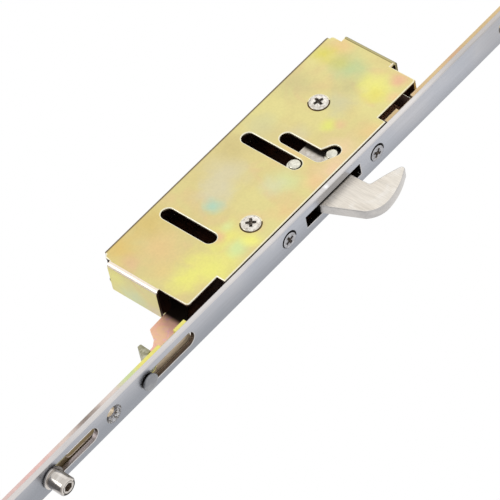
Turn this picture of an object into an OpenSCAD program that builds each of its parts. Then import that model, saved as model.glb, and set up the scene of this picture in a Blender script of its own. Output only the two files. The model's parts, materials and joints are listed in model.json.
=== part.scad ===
// Hook and roller section of a multipoint door lock, upright as it sits in a door edge.
// X points out of the door edge, in the direction in which the hook is thrown.
// Y runs across the faceplate, and the case cover faces -Y. Z runs up the faceplate.
// The origin is on the back face of the faceplate, midway between the two door fixing holes.
// The lock is drawn locked: the hook is out and raised, and both drive bars are at the bottom
// of their travel.

/* [Faceplate] */
// Width of the faceplate
plate_w = 16; // [15:0.5:20]
// Thickness of the faceplate
plate_t = 2.5; // [2.4:0.1:3.5]
// Length of the faceplate above the origin
plate_up = 190; // [184:1:230]
// Length of the faceplate below the origin
plate_down = 210; // [200:1:260]
// Distance between the two door fixing holes
fixing_pitch = 266; // [262:1:270]
// Bore of the door fixing holes
fixing_bore = 5; // [4:0.1:5.5]
// Countersink width of the screws in the faceplate
sink_d = 9.5; // [8.5:0.1:10]

/* [Hook slot] */
// Height of the middle of the hook slot
hook_z = 12; // [11:0.5:13]
// Length of the hook slot
hook_slot_l = 37; // [36.5:0.5:40]
// Width of the hook slot
hook_slot_w = 6.8; // [6.2:0.1:8]
// Distance between the two case fixing screws
case_screw_pitch = 60; // [58:1:64]

/* [Case] */
// Outside thickness of the case
case_t = 17.2; // [17:0.2:20]
// Depth of the case behind the faceplate
case_depth = 56; // [56:1:64]
// Sheet thickness of the case
sheet_t = 1.2; // [1:0.1:1.4]
// Outer bend radius of the folded sheet
bend_r = 2.5; // [2:0.1:3]
// Lower edge of the case cover
case_low = -75.5; // [-78:0.5:-75]
// Upper edge of the case cover
case_high = 79.3; // [78.5:0.5:82]
// Depth of the notches that let the drive bars into the case
notch_depth = 4.8; // [4:0.1:6]
// Length of the lower notch
notch_low_l = 19.2; // [19:0.1:20]
// Length of the upper notch
notch_high_l = 26.5; // [26:0.1:28]
// Width of the guide slots in the case
case_slot_w = 6.5; // [6:0.1:7]
// Inner end of the folded end walls, measured from the back of the case
wall_inset = 6.2; // [6:0.1:9]
// Length of the folded end walls
wall_l = 28.6; // [26:0.1:29]

/* [Hook] */
// Thickness of the hook
hook_t = 5; // [4.6:0.1:5.4]
// Diameter of the pivot pin and of the guide pin
pin_d = 5.5; // [5:0.1:5.8]
// Distance of the pivot pin behind the faceplate
pivot_x = 18.4; // [18:0.1:19]
// Draw of the hook into the case
hook_draw = 26.7; // [25:0.1:27]

/* [Drive] */
// Travel of the drive bars
travel = 25; // [20:0.5:25]
// Thickness of the drive bars
bar_t = 2; // [1.8:0.1:2.4]
// Width of the drive bars
bar_w = 14.6; // [14:0.1:14.8]
// Thickness of the slider
slider_t = 2; // [1.6:0.1:2]
// Length of the keying notches in the drive bars
key_l = 9.6; // [8:0.1:10]
// Depth of the keying notches in the drive bars
key_depth = 2.3; // [2.2:0.1:2.4]

/* [Studs and roller] */
// Width of the long slots in the faceplate
run_slot_w = 7.8; // [7.4:0.1:8.4]
// Height of the lower guide stud
stud_low_z = -111.3; // [-112:0.1:-111]
// Height of the upper guide stud
stud_high_z = 146; // [145:0.5:148]
// Head diameter of the guide studs
stud_head_d = 8.4; // [8.2:0.1:9]
// Height of the roller axis
roller_z = -172.6; // [-174:0.1:-172]
// Diameter of the roller
roller_d = 9; // [8.5:0.1:9.5]
// Diameter of the flange on the roller
roller_flange_d = 11; // [10.5:0.1:12]
// Length of the roller in front of the faceplate
roller_l = 9.2; // [8:0.1:10]
// Offset of the roller axis from its stem
roller_offset = 0.8; // [0.4:0.1:1]

/* [Hidden] */
$fn = 48;

e = 0.01;               // overlap of a cut with the face that it leaves
run = 0.2;              // gap between pieces that slide on each other
bore_gap = 0.05;        // radial clearance round a pin or screw
edge_r = 0.5;           // rounding of the faceplate's front edges
end_r = 3;              // rounding of the faceplate's corners
half_t = case_t / 2;
inner_y = half_t - sheet_t;          // inner faces of the case are at -inner_y and +inner_y
case_front = 0.4;       // gap between the case's edge and the faceplate
case_corner_r = 1.6;    // rounding of the side plates' corners
fold_corner_r = 3;      // rounding of both ends of the rear fold
rear_wall_inset = 1.5;  // how far the rear wall stops short of the side plates' ends
high_wall_rise = 1.9;   // flat of the cover that carries the upper end wall
high_wall_shift = 1.7;  // how far the upper end wall sits nearer the faceplate
slider_gap = 0.5;       // room left for the slider beside a folded flap
bar_front = -run;
bar_back = bar_front - bar_t;
fix_low_z = -fixing_pitch / 2;
fix_high_z = fixing_pitch / 2;
screw_low_z = hook_z - case_screw_pitch / 2;
screw_high_z = hook_z + case_screw_pitch / 2;
pin_r = pin_d / 2;
screw_r = 2.5;          // thread radius of the screws in the case and the faceplate

// Guide slots and pins in the plane of the case, as [x, z]
pivot = [-pivot_x, hook_z - 0.4];
pivot_in = pivot - [hook_draw, 0];
guide = [-9.3, hook_z + 14.1];
slot_end_gap = 0.2;
low_slot = [[-46.2, hook_z - 53.5], [-21.9, hook_z - 53.5]];
mid_slot = [pivot_in - [slot_end_gap, 0], pivot + [slot_end_gap, 0]];
bent_slot = [[-30.9, hook_z + 9.1], [-12, hook_z + 9.1], guide + [0.5, 0.9]];

// Screws that hold the cover, as [x, z]
cover_screw_at = [[-32.5, hook_z + 33], [-11.8, hook_z - 37.5]];
pillar_r = 3.6;
pillar_tail_r = 2.4;

// Slider and its posts, as [x, z]
slider_back = inner_y - run;         // face that slides on the base plate
slider_front = slider_back - slider_t;
post_at = [[-15, hook_z + 38], [-22, hook_z - 50]];
post_r = 2;
key_clear = 0.2;
notch_low_z = case_low + notch_low_l;
notch_high_z = case_high - notch_high_l;
bar_low_top = notch_low_z - travel - 0.2;
bar_high_bottom = notch_high_z + 0.95;
bar_end_tab = 7;        // length of bar beyond a keying notch
key_low_z = bar_low_top - bar_end_tab - key_l;      // lower edge of the lower notch
key_high_z = bar_high_bottom + bar_end_tab + 1.4;   // lower edge of the upper notch
bar_ends_out = 18;      // how far the bars stand out past the faceplate
coupling_r = 2.6;
coupling_in = 7;        // coupling hole to bar end

// Fixing blocks behind the faceplate
block_x = 7.8;
block_h = 10;
block_front_y = -4;
rivet_r = 2;

// Studs
stud_neck_r = run_slot_w / 2 - run;
stud_tail_r = 2.5;
stud_head_h = 1.5;
stud_head_x = 3.3;      // back of the stud heads
tail_head_r = 3.6;
tail_head_h = 0.8;

// Roller
stem_z = roller_z - roller_offset;
stem_r = 3;
sleeve_bore_r = 2.9;
hex_af = 4;             // across flats of the socket in the roller
sleeve_back = plate_t + 0.4;
stem_front = sleeve_back + roller_l;
clip_gap = 0.2;
clip_t = 1;
groove_r = 2.4;         // bottom of the clip's groove in the stem

// A rod along X
module rod_x(x0, x1, r, y = 0, z = 0)
    translate([x0, y, z]) rotate([0, 90, 0]) cylinder(h = x1 - x0, r = r);

// A rod along Y
module rod_y(y0, y1, r, x = 0, z = 0)
    translate([x, y0, z]) rotate([-90, 0, 0]) cylinder(h = y1 - y0, r = r);

// A cone along X
module cone_x(x0, x1, r0, r1, y = 0, z = 0)
    translate([x0, y, z]) rotate([0, 90, 0]) cylinder(h = x1 - x0, r1 = r0, r2 = r1);

// A box from its lowest to its highest corner
module box(low, high)
    translate(low) cube(high - low);

// A slot with round ends through a plate that faces X, from height z0 to z1
module slot_x(x0, x1, z0, z1, w) {
    rod_x(x0, x1, w / 2, 0, z0);
    rod_x(x0, x1, w / 2, 0, z1);
    box([x0, -w / 2, z0], [x1, w / 2, z1]);
}

// A slot with round ends through a plate that faces Y, between two points in the plane
module slot_y(y0, y1, a, b, w) {
    len = norm(b - a);
    translate([a[0], y1, a[1]]) rotate([90, 0, 0]) rotate([0, 0, atan2(b[1] - a[1], b[0] - a[0])])
        linear_extrude(y1 - y0) {
            circle(r = w / 2);
            translate([len, 0]) circle(r = w / 2);
            translate([0, -w / 2]) square([len, w]);
        }
}

// A flat plate in the plane of the case, cut to the outline in the children
module plate_y(y0, y1)
    translate([0, y1, 0]) rotate([90, 0, 0]) linear_extrude(y1 - y0) children();

// A countersunk hole in the faceplate
module sunk_hole(z, r) {
    rod_x(-1, plate_t + 1, r, 0, z);
    cone_x(plate_t - (sink_d / 2 - r), plate_t + e, r, sink_d / 2 + e, 0, z);
}

// A cross recess, cut down from the origin along -Z
module cross_recess(span, w, depth)
    translate([0, 0, -depth]) for (a = [0, 90])
        rotate([0, 0, a]) translate([-span / 2, -w / 2, 0]) cube([span, w, depth + 1]);

// Points of an arc in the plane of the case
function arc(c, r, from, to, steps) =
    [for (i = [0 : steps]) let (a = from + (to - from) * i / steps) c + r * [cos(a), sin(a)]];

// Section of the faceplate, with its front edges rounded
module plate_section() {
    half = plate_w / 2;
    translate([0, -half]) square([plate_t - edge_r, plate_w]);
    translate([0, -half + edge_r]) square([plate_t, plate_w - 2 * edge_r]);
    for (s = [-1, 1]) translate([plate_t - edge_r, s * (half - edge_r)]) circle(r = edge_r);
}

// Outline of the faceplate seen from the front, with its corners rounded
module plate_front() {
    half = plate_w / 2;
    box([-1, -half, -plate_down + end_r], [plate_t + 1, half, plate_up - end_r]);
    box([-1, -half + end_r, -plate_down], [plate_t + 1, half - end_r, plate_up]);
    for (s = [-1, 1], z = [-plate_down + end_r, plate_up - end_r])
        rod_x(-1, plate_t + 1, end_r, s * (half - end_r), z);
}

module faceplate() {
    half_slot = hook_slot_l / 2;
    color([0.68, 0.70, 0.74]) difference() {
        intersection() {
            translate([0, 0, -plate_down]) linear_extrude(plate_up + plate_down) plate_section();
            plate_front();
        }
        for (z = [fix_low_z, fix_high_z]) sunk_hole(z, fixing_bore / 2);
        for (z = [screw_low_z, screw_high_z]) sunk_hole(z, screw_r + bore_gap);
        box([-1, -hook_slot_w / 2, hook_z - half_slot], [plate_t + 1, hook_slot_w / 2, hook_z + half_slot]);
        for (z = [stud_low_z, stud_high_z, stem_z])
            slot_x(-1, plate_t + 1, z, z + travel + 1, run_slot_w);
    }
}

// Blank of a drive bar between two heights
module bar_blank(z0, z1)
    box([bar_back, -bar_w / 2, z0], [bar_front, bar_w / 2, z1]);

// Keying notches in both edges of a drive bar
module key_notches(z)
    for (s = [-1, 1]) box([bar_back - 1, min(s * (bar_w / 2 - key_depth), s * (bar_w / 2 + 1)), z],
                          [bar_front + 1, max(s * (bar_w / 2 - key_depth), s * (bar_w / 2 + 1)), z + key_l]);

// Clearance slot for a door screw behind a fixing hole
module door_screw_slot(z)
    slot_x(bar_back - 3, bar_front + 1, z - travel, z, fixing_bore + 1.2);

module drive_bar_lower() {
    color([0.86, 0.74, 0.50]) difference() {
        bar_blank(-plate_down - bar_ends_out, bar_low_top);
        key_notches(key_low_z);
        door_screw_slot(fix_low_z);
        rod_x(bar_back - 1, bar_front + 1, stud_tail_r + bore_gap, 0, stud_low_z);
        rod_x(bar_back - 1, bar_front + 1, stem_r + bore_gap, 0, stem_z);
        rod_x(bar_back - 1, bar_front + 1, rivet_r + bore_gap, 0, cleat_z - cleat_rivet_drop);
        rod_x(bar_back - 1, bar_front + 1, coupling_r, 0, -plate_down - bar_ends_out + coupling_in);
    }
}

module drive_bar_upper() {
    color([0.84, 0.68, 0.46]) difference() {
        bar_blank(bar_high_bottom, plate_up + bar_ends_out);
        key_notches(key_high_z);
        door_screw_slot(fix_high_z);
        rod_x(bar_back - 1, bar_front + 1, stud_tail_r + bore_gap, 0, stud_high_z);
        rod_x(bar_back - 1, bar_front + 1, coupling_r, 0, plate_up + bar_ends_out - coupling_in);
    }
}

// A rectangle between two corners, with its own corners rounded
module round_rect(low, high, r)
    offset(r = r) offset(delta = -r) translate(low) square(high - low);

// Outline of the case's side plates: notched at both front corners for the drive bars
module side_outline(back, low, high) {
    round_rect([-back, low], [-notch_depth, high], case_corner_r);
    translate([-notch_depth - 1, notch_low_z])
        square([notch_depth + 1 - case_front, notch_high_z - notch_low_z]);
}

// The three guide slots of the cover
module guide_slots(y0, y1) {
    slot_y(y0, y1, low_slot[0], low_slot[1], case_slot_w);
    slot_y(y0, y1, mid_slot[0], mid_slot[1], case_slot_w);
    slot_y(y0, y1, bent_slot[0], bent_slot[1], case_slot_w);
    slot_y(y0, y1, bent_slot[1], bent_slot[2], case_slot_w);
}

// Section of a folded wall, with the cover's outer face at y = 0 and the end of its flat at x = 0
module fold_section(flat = 1) {
    difference() {
        intersection() {
            translate([0, bend_r]) circle(r = bend_r);
            square(bend_r);
        }
        translate([0, bend_r]) circle(r = bend_r - sheet_t);
    }
    translate([bend_r - sheet_t, bend_r]) square([sheet_t, case_t - bend_r]);
    translate([-flat, 0]) square([flat, sheet_t]);
}

module rear_wall() {
    low = case_low + rear_wall_inset;
    high = case_high - rear_wall_inset;
    intersection() {
        translate([-case_depth + bend_r, -half_t, low]) mirror([1, 0, 0])
            linear_extrude(high - low) fold_section(fold_corner_r);
        plate_y(-half_t - 1, half_t + 1) round_rect([-case_depth, low], [0, high], fold_corner_r);
    }
}

module end_wall(flat = 1)
    translate([-case_depth + wall_inset + wall_l, -half_t, 0]) rotate([0, -90, 0])
        linear_extrude(wall_l) fold_section(flat);

// Flap that closes the upper front corner of the case, clear of the slider
module corner_flap()
    box([-case_depth + wall_inset + wall_l + high_wall_shift, -inner_y - sheet_t / 2, case_high - sheet_t],
        [-notch_depth - case_corner_r / 4, slider_front - slider_gap, case_high]);

module case_cover() {
    color([0.88, 0.80, 0.48]) {
        difference() {
            plate_y(-half_t, -inner_y) side_outline(case_depth - bend_r, case_low, case_high);
            guide_slots(-half_t - 1, -inner_y + 1);
            for (p = cover_screw_at) rod_y(-half_t - 1, -inner_y + 1, screw_r + bore_gap, p[0], p[1]);
        }
        rear_wall();
        corner_flap();
        translate([high_wall_shift, 0, case_high + high_wall_rise]) end_wall(high_wall_rise + 1);
        translate([0, 0, case_low]) mirror([0, 0, 1]) end_wall();
    }
}

module case_base() {
    wall_start = -case_depth + wall_inset;
    wall_in = bend_r - sheet_t - 0.1;   // reach of the base plate up to the end walls
    color([0.84, 0.76, 0.48]) difference() {
        union() {
            plate_y(inner_y, half_t) side_outline(case_depth - sheet_t - 0.1, case_low, case_high);
            box([wall_start, inner_y, case_low - wall_in], [wall_start + wall_l, half_t, 0]);
            box([wall_start + high_wall_shift, inner_y, 0],
                [wall_start + high_wall_shift + wall_l, half_t, case_high + high_wall_rise + wall_in]);
        }
        slot_y(inner_y - 1, half_t + 1, low_slot[0], low_slot[1], case_slot_w);
        slot_y(inner_y - 1, half_t + 1, mid_slot[0], mid_slot[1], case_slot_w);
        for (p = cover_screw_at) rod_y(inner_y - 1, half_t + 1, pillar_tail_r + bore_gap, p[0], p[1]);
        for (p = post_at) rod_y(inner_y - 1, half_t + 1, post_r + bore_gap, p[0], p[1]);
        for (z = [screw_low_z, screw_high_z])
            rod_y(inner_y - 1, half_t + 1, rivet_r + bore_gap, -block_x / 2, z);
    }
}

// Threaded pillars between the plates, riveted into the base plate
module cover_pillars() {
    color([0.72, 0.72, 0.70]) for (p = cover_screw_at) difference() {
        union() {
            rod_y(-inner_y, inner_y, pillar_r, p[0], p[1]);
            rod_y(inner_y - e, half_t, pillar_tail_r, p[0], p[1]);
        }
        rod_y(-inner_y - 1, 2, screw_r + bore_gap, p[0], p[1]);
    }
}

// Raised head of a cover screw, on its own axis, with the seat at z = 0 and the top at z = head_h
module raised_head(head_r, head_h, round_r) {
    difference() {
        rotate_extrude() {
            square([head_r, head_h - round_r]);
            square([head_r - round_r, head_h]);
            translate([head_r - round_r, head_h - round_r]) intersection() {
                circle(r = round_r);
                square(round_r);
            }
        }
        translate([0, 0, head_h]) cross_recess(4.8, 1.1, 1.3);
    }
}

module cover_screws() {
    color([0.80, 0.80, 0.78]) for (p = cover_screw_at) {
        rod_y(-half_t - e, 0, screw_r, p[0], p[1]);
        translate([p[0], -half_t, p[1]]) rotate([90, 20, 0]) raised_head(4.85, 1.9, 1);
    }
}

// Threaded blocks that the case fixing screws pull against the back of the faceplate
module fixing_blocks() {
    color([0.62, 0.62, 0.60]) for (z = [screw_low_z, screw_high_z]) difference() {
        box([-block_x, block_front_y, z - block_h / 2], [0, inner_y, z + block_h / 2]);
        rod_x(-block_x - 1, 1, screw_r + bore_gap, 0, z);
        rod_y(screw_r + 1.2, inner_y + 1, rivet_r + bore_gap, -block_x / 2, z);
    }
}

module block_rivets() {
    color([0.74, 0.72, 0.66]) for (z = [screw_low_z, screw_high_z]) {
        rod_y(screw_r + 1.4, half_t + e, rivet_r, -block_x / 2, z);
        translate([-block_x / 2, half_t, z]) rotate([-90, 0, 0]) cylinder(h = 0.8, r1 = 3.2, r2 = 2.2);
    }
}

// Countersunk screws through the faceplate into the blocks
module case_fixing_screws() {
    head_h = sink_d / 2 - screw_r - bore_gap;
    color([0.64, 0.65, 0.68]) for (z = [screw_low_z, screw_high_z]) difference() {
        union() {
            rod_x(-block_x + 1, plate_t - head_h + e, screw_r, 0, z);
            cone_x(plate_t - head_h, plate_t - 0.1, screw_r, sink_d / 2 - 0.15, 0, z);
        }
        translate([plate_t - 0.1, 0, z]) rotate([0, 90, 0]) rotate([0, 0, 25]) cross_recess(4.4, 1, 1.2);
    }
}

// Outline of the slider: a cam plate between an arm that keys into each drive bar
module slider_outline() {
    tooth_x = bar_front - 0.1;
    arm_in = -19;           // back edge of the upper arm and the tongue
    arm_out = -11;          // front edge of the upper arm
    low_in = -28;           // back edge of the lower arm
    low_out = -16;          // front edge of the lower arm
    key_top = key_high_z + key_l - key_clear;
    key_bottom = key_low_z + key_clear;
    cam = pivot_in - [0, travel];
    polygon([[arm_out, hook_z - 2], [arm_out, key_high_z - 4], [bar_back - 1.5, key_high_z + key_clear],
             [tooth_x, key_high_z + key_clear], [tooth_x, key_top], [arm_out - 3, key_top],
             [arm_in, key_top - 6], [arm_in, hook_z + 8], [pivot[0] - 3, pivot[1] + 7],
             [cam[0] - 6.4, cam[1] + 3.8], [cam[0] - 7.4, cam[1]], [cam[0] - 3.4, cam[1] - 6],
             [cam[0] + 5, cam[1] - 6], [low_in, cam[1] + 1], [low_in, case_low + 9.5],
             [arm_in - 0.3, case_low + 2.5], [arm_in - 0.3, case_low - 4], [arm_in, key_bottom + 10.4],
             [arm_in + 5.1, key_bottom + 7.3], [arm_in + 7.3, key_bottom + 4.1],
             [arm_in + 7.6, key_bottom + 1.9], [arm_in + 9.5, key_bottom], [tooth_x, key_bottom],
             [tooth_x, key_low_z + key_l - key_clear], [bar_back - 0.8, key_low_z + key_l - key_clear],
             [arm_out + 3, case_low - 0.5], [low_out + 2, case_low + 7.5], [low_out, case_low + 15],
             [low_out, hook_z - 20], [arm_out - 0.5, hook_z - 8]]);
}

module slider_plate() {
    color([0.90, 0.70, 0.52]) difference() {
        plate_y(slider_front, slider_back) slider_outline();
        slot_y(slider_front - 1, slider_back + 1, pivot_in - [0, travel], pivot, pin_d + 2 * run);
        for (p = post_at)
            slot_y(slider_front - 1, slider_back + 1, p - [0, travel], p, 2 * (post_r + run));
    }
}

// Headed posts, riveted into the base plate, that the slider runs on
module slider_posts() {
    color([0.74, 0.73, 0.70]) for (p = post_at) {
        rod_y(slider_front - run, half_t, post_r, p[0], p[1]);
        rod_y(slider_front - run - 1, slider_front - run + e, post_r + 1.8, p[0], p[1]);
    }
}

// Outline of the hook: a claw in front of the faceplate and a body between the case plates
module hook_outline() {
    throat = [11.7, hook_z + 14];
    tip = [19.1, hook_z + 26.9];
    nose = [-12.3, hook_z + 7];
    heel = [13.7, hook_z + 8.7];
    polygon(concat(
        [[-24.5, hook_z - 4], [-24.5, hook_z + 15.5], [-21.5, hook_z + 18.5], [-7, hook_z + 18.5],
         [-3.6, hook_z + 15.5], [-2.4, hook_z + 12.2]],
        arc(throat, 1.6, -88, -20, 4), [[15.2, hook_z + 20.6], [17.5, hook_z + 27.2]],
        arc(tip, 1.5, 135, 30, 5), arc(nose, 38.5, 29, 4, 8), arc(heel, 12.4, 0, -52, 9),
        [[4.1, hook_z - 8.7], [-4, hook_z - 11.2], [-12, hook_z - 10.4], [-20, hook_z - 7.2]]));
}

module hook_bolt() {
    color([0.80, 0.77, 0.72]) difference() {
        plate_y(-hook_t / 2, hook_t / 2) hook_outline();
        rod_y(-hook_t, hook_t, pin_r + bore_gap, pivot[0], pivot[1]);
        rod_y(-hook_t, hook_t, pin_r, guide[0], guide[1]);
    }
}

// Shouldered pin in the hook that follows the bent slot
module guide_pin() {
    pin_front = -inner_y + run;
    shoulder_r = pin_r + 1;
    color([0.84, 0.82, 0.78]) {
        rod_y(pin_front, slider_front - 0.3, pin_r, guide[0], guide[1]);
        rod_y(pin_front + 1.6, -hook_t / 2, shoulder_r, guide[0], guide[1]);
    }
}

// Pin that carries the hook, drawn back by the slot of the slider
module pivot_pin() {
    color([0.84, 0.82, 0.78]) rod_y(-half_t + 0.1, half_t - 0.1, pin_r, pivot[0], pivot[1]);
}

// Collars that keep the hook in the middle of the case
module pivot_collars() {
    side_gap = 0.3;
    color([0.80, 0.78, 0.74]) for (span = [[-inner_y + side_gap, -hook_t / 2 - side_gap],
                                            [hook_t / 2 + side_gap, slider_front - side_gap]])
        difference() {
            rod_y(span[0], span[1], pin_r + 1.1, pivot[0], pivot[1]);
            rod_y(span[0] - 1, span[1] + 1, pin_r, pivot[0], pivot[1]);
        }
}

// Stud that holds a drive bar to the faceplate: tail in the bar, neck in the slot, head in front
module guide_stud(z) {
    dome_r = 0.7;
    color([0.70, 0.70, 0.70]) {
        rod_x(bar_back - e, bar_front + e, stud_tail_r, 0, z);
        rod_x(bar_back - tail_head_h, bar_back, tail_head_r, 0, z);
        rod_x(bar_front, plate_t - 0.5, stud_neck_r, 0, z);
        rod_x(plate_t - 1, stud_head_x + e, stud_tail_r, 0, z);
        translate([stud_head_x, 0, z]) rotate([0, 90, 0]) rotate_extrude() {
            square([stud_head_d / 2, stud_head_h - dome_r]);
            square([stud_head_d / 2 - dome_r, stud_head_h]);
            translate([stud_head_d / 2 - dome_r, stud_head_h - dome_r]) intersection() {
                circle(r = dome_r);
                square(dome_r);
            }
        }
    }
}

module guide_stud_lower() guide_stud(stud_low_z);

module guide_stud_upper() guide_stud(stud_high_z);

// Cast cleat on the back of the lower bar, which centres the bar in the door's groove
cleat_z = key_low_z - 5.5;
cleat_reach = 10.4;
cleat_half_w = 4.8;
cleat_rivet_drop = 1.8;
module cleat_outline() {
    polygon([[bar_back, cleat_z - 3.6], [bar_back, cleat_z + 0.4], [bar_back - 2, cleat_z + 0.4],
             [bar_back - 2, cleat_z + 2.6], [-cleat_reach + 0.4, cleat_z + 2.9],
             [-cleat_reach, cleat_z + 2.5], [-cleat_reach - 0.1, cleat_z + 0.9]]);
}
module guide_cleat() {
    color([0.66, 0.65, 0.52]) {
        plate_y(-cleat_half_w, cleat_half_w) cleat_outline();
        rod_x(bar_back - 0.6, bar_front, rivet_r, 0, cleat_z - cleat_rivet_drop);
    }
}

// Eccentric stem: it turns in the bar, and a hexagon key in its front end sets the roller
module roller_stem() {
    tail_l = clip_gap + clip_t + 0.8;
    color([0.66, 0.65, 0.62]) difference() {
        union() {
            rod_x(bar_back - tail_l, bar_front + e, stem_r, 0, stem_z);
            rod_x(bar_front, plate_t + run, stud_neck_r, 0, stem_z);
            rod_x(plate_t + run - e, stem_front, sleeve_bore_r - bore_gap, 0, roller_z);
        }
        difference() {
            rod_x(bar_back - clip_gap - clip_t, bar_back - clip_gap, stem_r + 1, 0, stem_z);
            rod_x(bar_back - clip_gap - clip_t - 1, bar_back, groove_r, 0, stem_z);
        }
        translate([stem_front - 4, 0, roller_z]) rotate([0, 90, 0]) rotate([0, 0, 15])
            cylinder(h = 5, r = hex_af / 2 / cos(30), $fn = 6);
    }
}

// Flanged roller that runs on the stem and enters the keeper on the frame
module roller_sleeve() {
    flange_t = 1.1;
    lip = 0.6;
    color([0.78, 0.77, 0.75]) translate([sleeve_back, 0, roller_z]) rotate([0, 90, 0]) difference() {
        union() {
            cylinder(h = flange_t, r = roller_flange_d / 2);
            cylinder(h = roller_l - lip, r = roller_d / 2);
            translate([0, 0, roller_l - lip - e])
                cylinder(h = lip + e, r1 = roller_d / 2, r2 = roller_d / 2 - lip);
        }
        translate([0, 0, -1]) cylinder(h = roller_l + 2, r = sleeve_bore_r);
    }
}

// Spring clip in the stem's groove, behind the bar
module roller_clip() {
    clip_x = bar_back - clip_gap - clip_t;
    color([0.50, 0.50, 0.50]) difference() {
        rod_x(clip_x, clip_x + clip_t, stem_r + 1.6, 0, stem_z);
        rod_x(clip_x - 1, clip_x + clip_t + 1, groove_r, 0, stem_z);
        box([clip_x - 1, 0, stem_z - 1.6], [clip_x + clip_t + 1, stem_r + 3, stem_z + 1.6]);
    }
}

faceplate();
drive_bar_lower();
drive_bar_upper();
case_cover();
case_base();
cover_pillars();
cover_screws();
fixing_blocks();
block_rivets();
case_fixing_screws();
slider_plate();
slider_posts();
hook_bolt();
guide_pin();
pivot_pin();
pivot_collars();
guide_stud_lower();
guide_stud_upper();
guide_cleat();
roller_stem();
roller_sleeve();
roller_clip();
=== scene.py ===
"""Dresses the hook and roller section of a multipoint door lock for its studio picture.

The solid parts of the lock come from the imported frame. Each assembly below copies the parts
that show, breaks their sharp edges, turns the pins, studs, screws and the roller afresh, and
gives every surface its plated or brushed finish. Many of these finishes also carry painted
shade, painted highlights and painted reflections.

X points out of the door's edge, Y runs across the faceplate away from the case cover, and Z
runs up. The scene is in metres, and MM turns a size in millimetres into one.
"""

from __future__ import annotations

import json
import logging
import math
from collections.abc import Callable, Iterable, Sequence
from dataclasses import dataclass, replace
from enum import Enum, IntEnum

import bmesh
import bpy
from mathutils import Euler, Matrix, Vector

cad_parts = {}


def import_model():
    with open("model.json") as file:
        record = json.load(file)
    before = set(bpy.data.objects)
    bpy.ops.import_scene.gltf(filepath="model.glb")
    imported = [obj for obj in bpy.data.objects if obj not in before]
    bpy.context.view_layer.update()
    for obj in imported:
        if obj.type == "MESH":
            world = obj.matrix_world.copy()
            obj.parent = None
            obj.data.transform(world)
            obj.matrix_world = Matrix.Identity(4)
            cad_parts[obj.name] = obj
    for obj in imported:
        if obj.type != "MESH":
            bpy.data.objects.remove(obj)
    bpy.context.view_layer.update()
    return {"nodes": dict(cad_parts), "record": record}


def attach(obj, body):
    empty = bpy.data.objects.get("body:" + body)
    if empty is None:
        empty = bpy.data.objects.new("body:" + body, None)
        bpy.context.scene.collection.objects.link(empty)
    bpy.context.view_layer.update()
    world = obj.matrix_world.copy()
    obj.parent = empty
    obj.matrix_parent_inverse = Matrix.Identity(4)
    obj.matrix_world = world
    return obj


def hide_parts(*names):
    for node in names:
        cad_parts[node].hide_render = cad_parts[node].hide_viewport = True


LOG = logging.getLogger("door_lock")
MM = 0.001
Colour = tuple[float, float, float]
Point = tuple[float, float, float]
Socket = bpy.types.NodeSocket


def linear(red: int, green: int, blue: int) -> Colour:
    """Turns a colour as a screen shows it into the values that light works with.

    Args:
        red: Red, from 0 to 255.
        green: Green, from 0 to 255.
        blue: Blue, from 0 to 255.

    Returns:
        The three linear values, from 0 to 1.
    """
    return tuple(
        c / 12.92 if c <= 0.04045 else ((c + 0.055) / 1.055) ** 2.4
        for c in (red / 255, green / 255, blue / 255)
    )


def add_object(name: str, data: bpy.types.ID) -> bpy.types.Object:
    """Makes an object of a mesh, a lamp or a camera and puts it in the scene.

    Args:
        name: The object's name.
        data: What it shows.

    Returns:
        The object.
    """
    made = bpy.data.objects.new(name, data)
    bpy.context.scene.collection.objects.link(made)
    return made


class Along(Enum):
    """The directions in which a turned piece can lie, each as its turn from Z and the turn's axis."""

    X = (90.0, "Y")
    Y = (-90.0, "X")
    MINUS_Y = (90.0, "X")

    def matrix(self) -> Matrix:
        """Returns the turn that takes the Z axis to this direction."""
        angle, axis = self.value
        return Matrix.Rotation(math.radians(angle), 4, axis)


class Look(IntEnum):
    """The place of a face's finish in its piece's list of finishes."""

    FACE = 0
    EDGE = 1
    INNER = 2
    FORMED = 3
    SHADE = 4


# Node graphs


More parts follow.
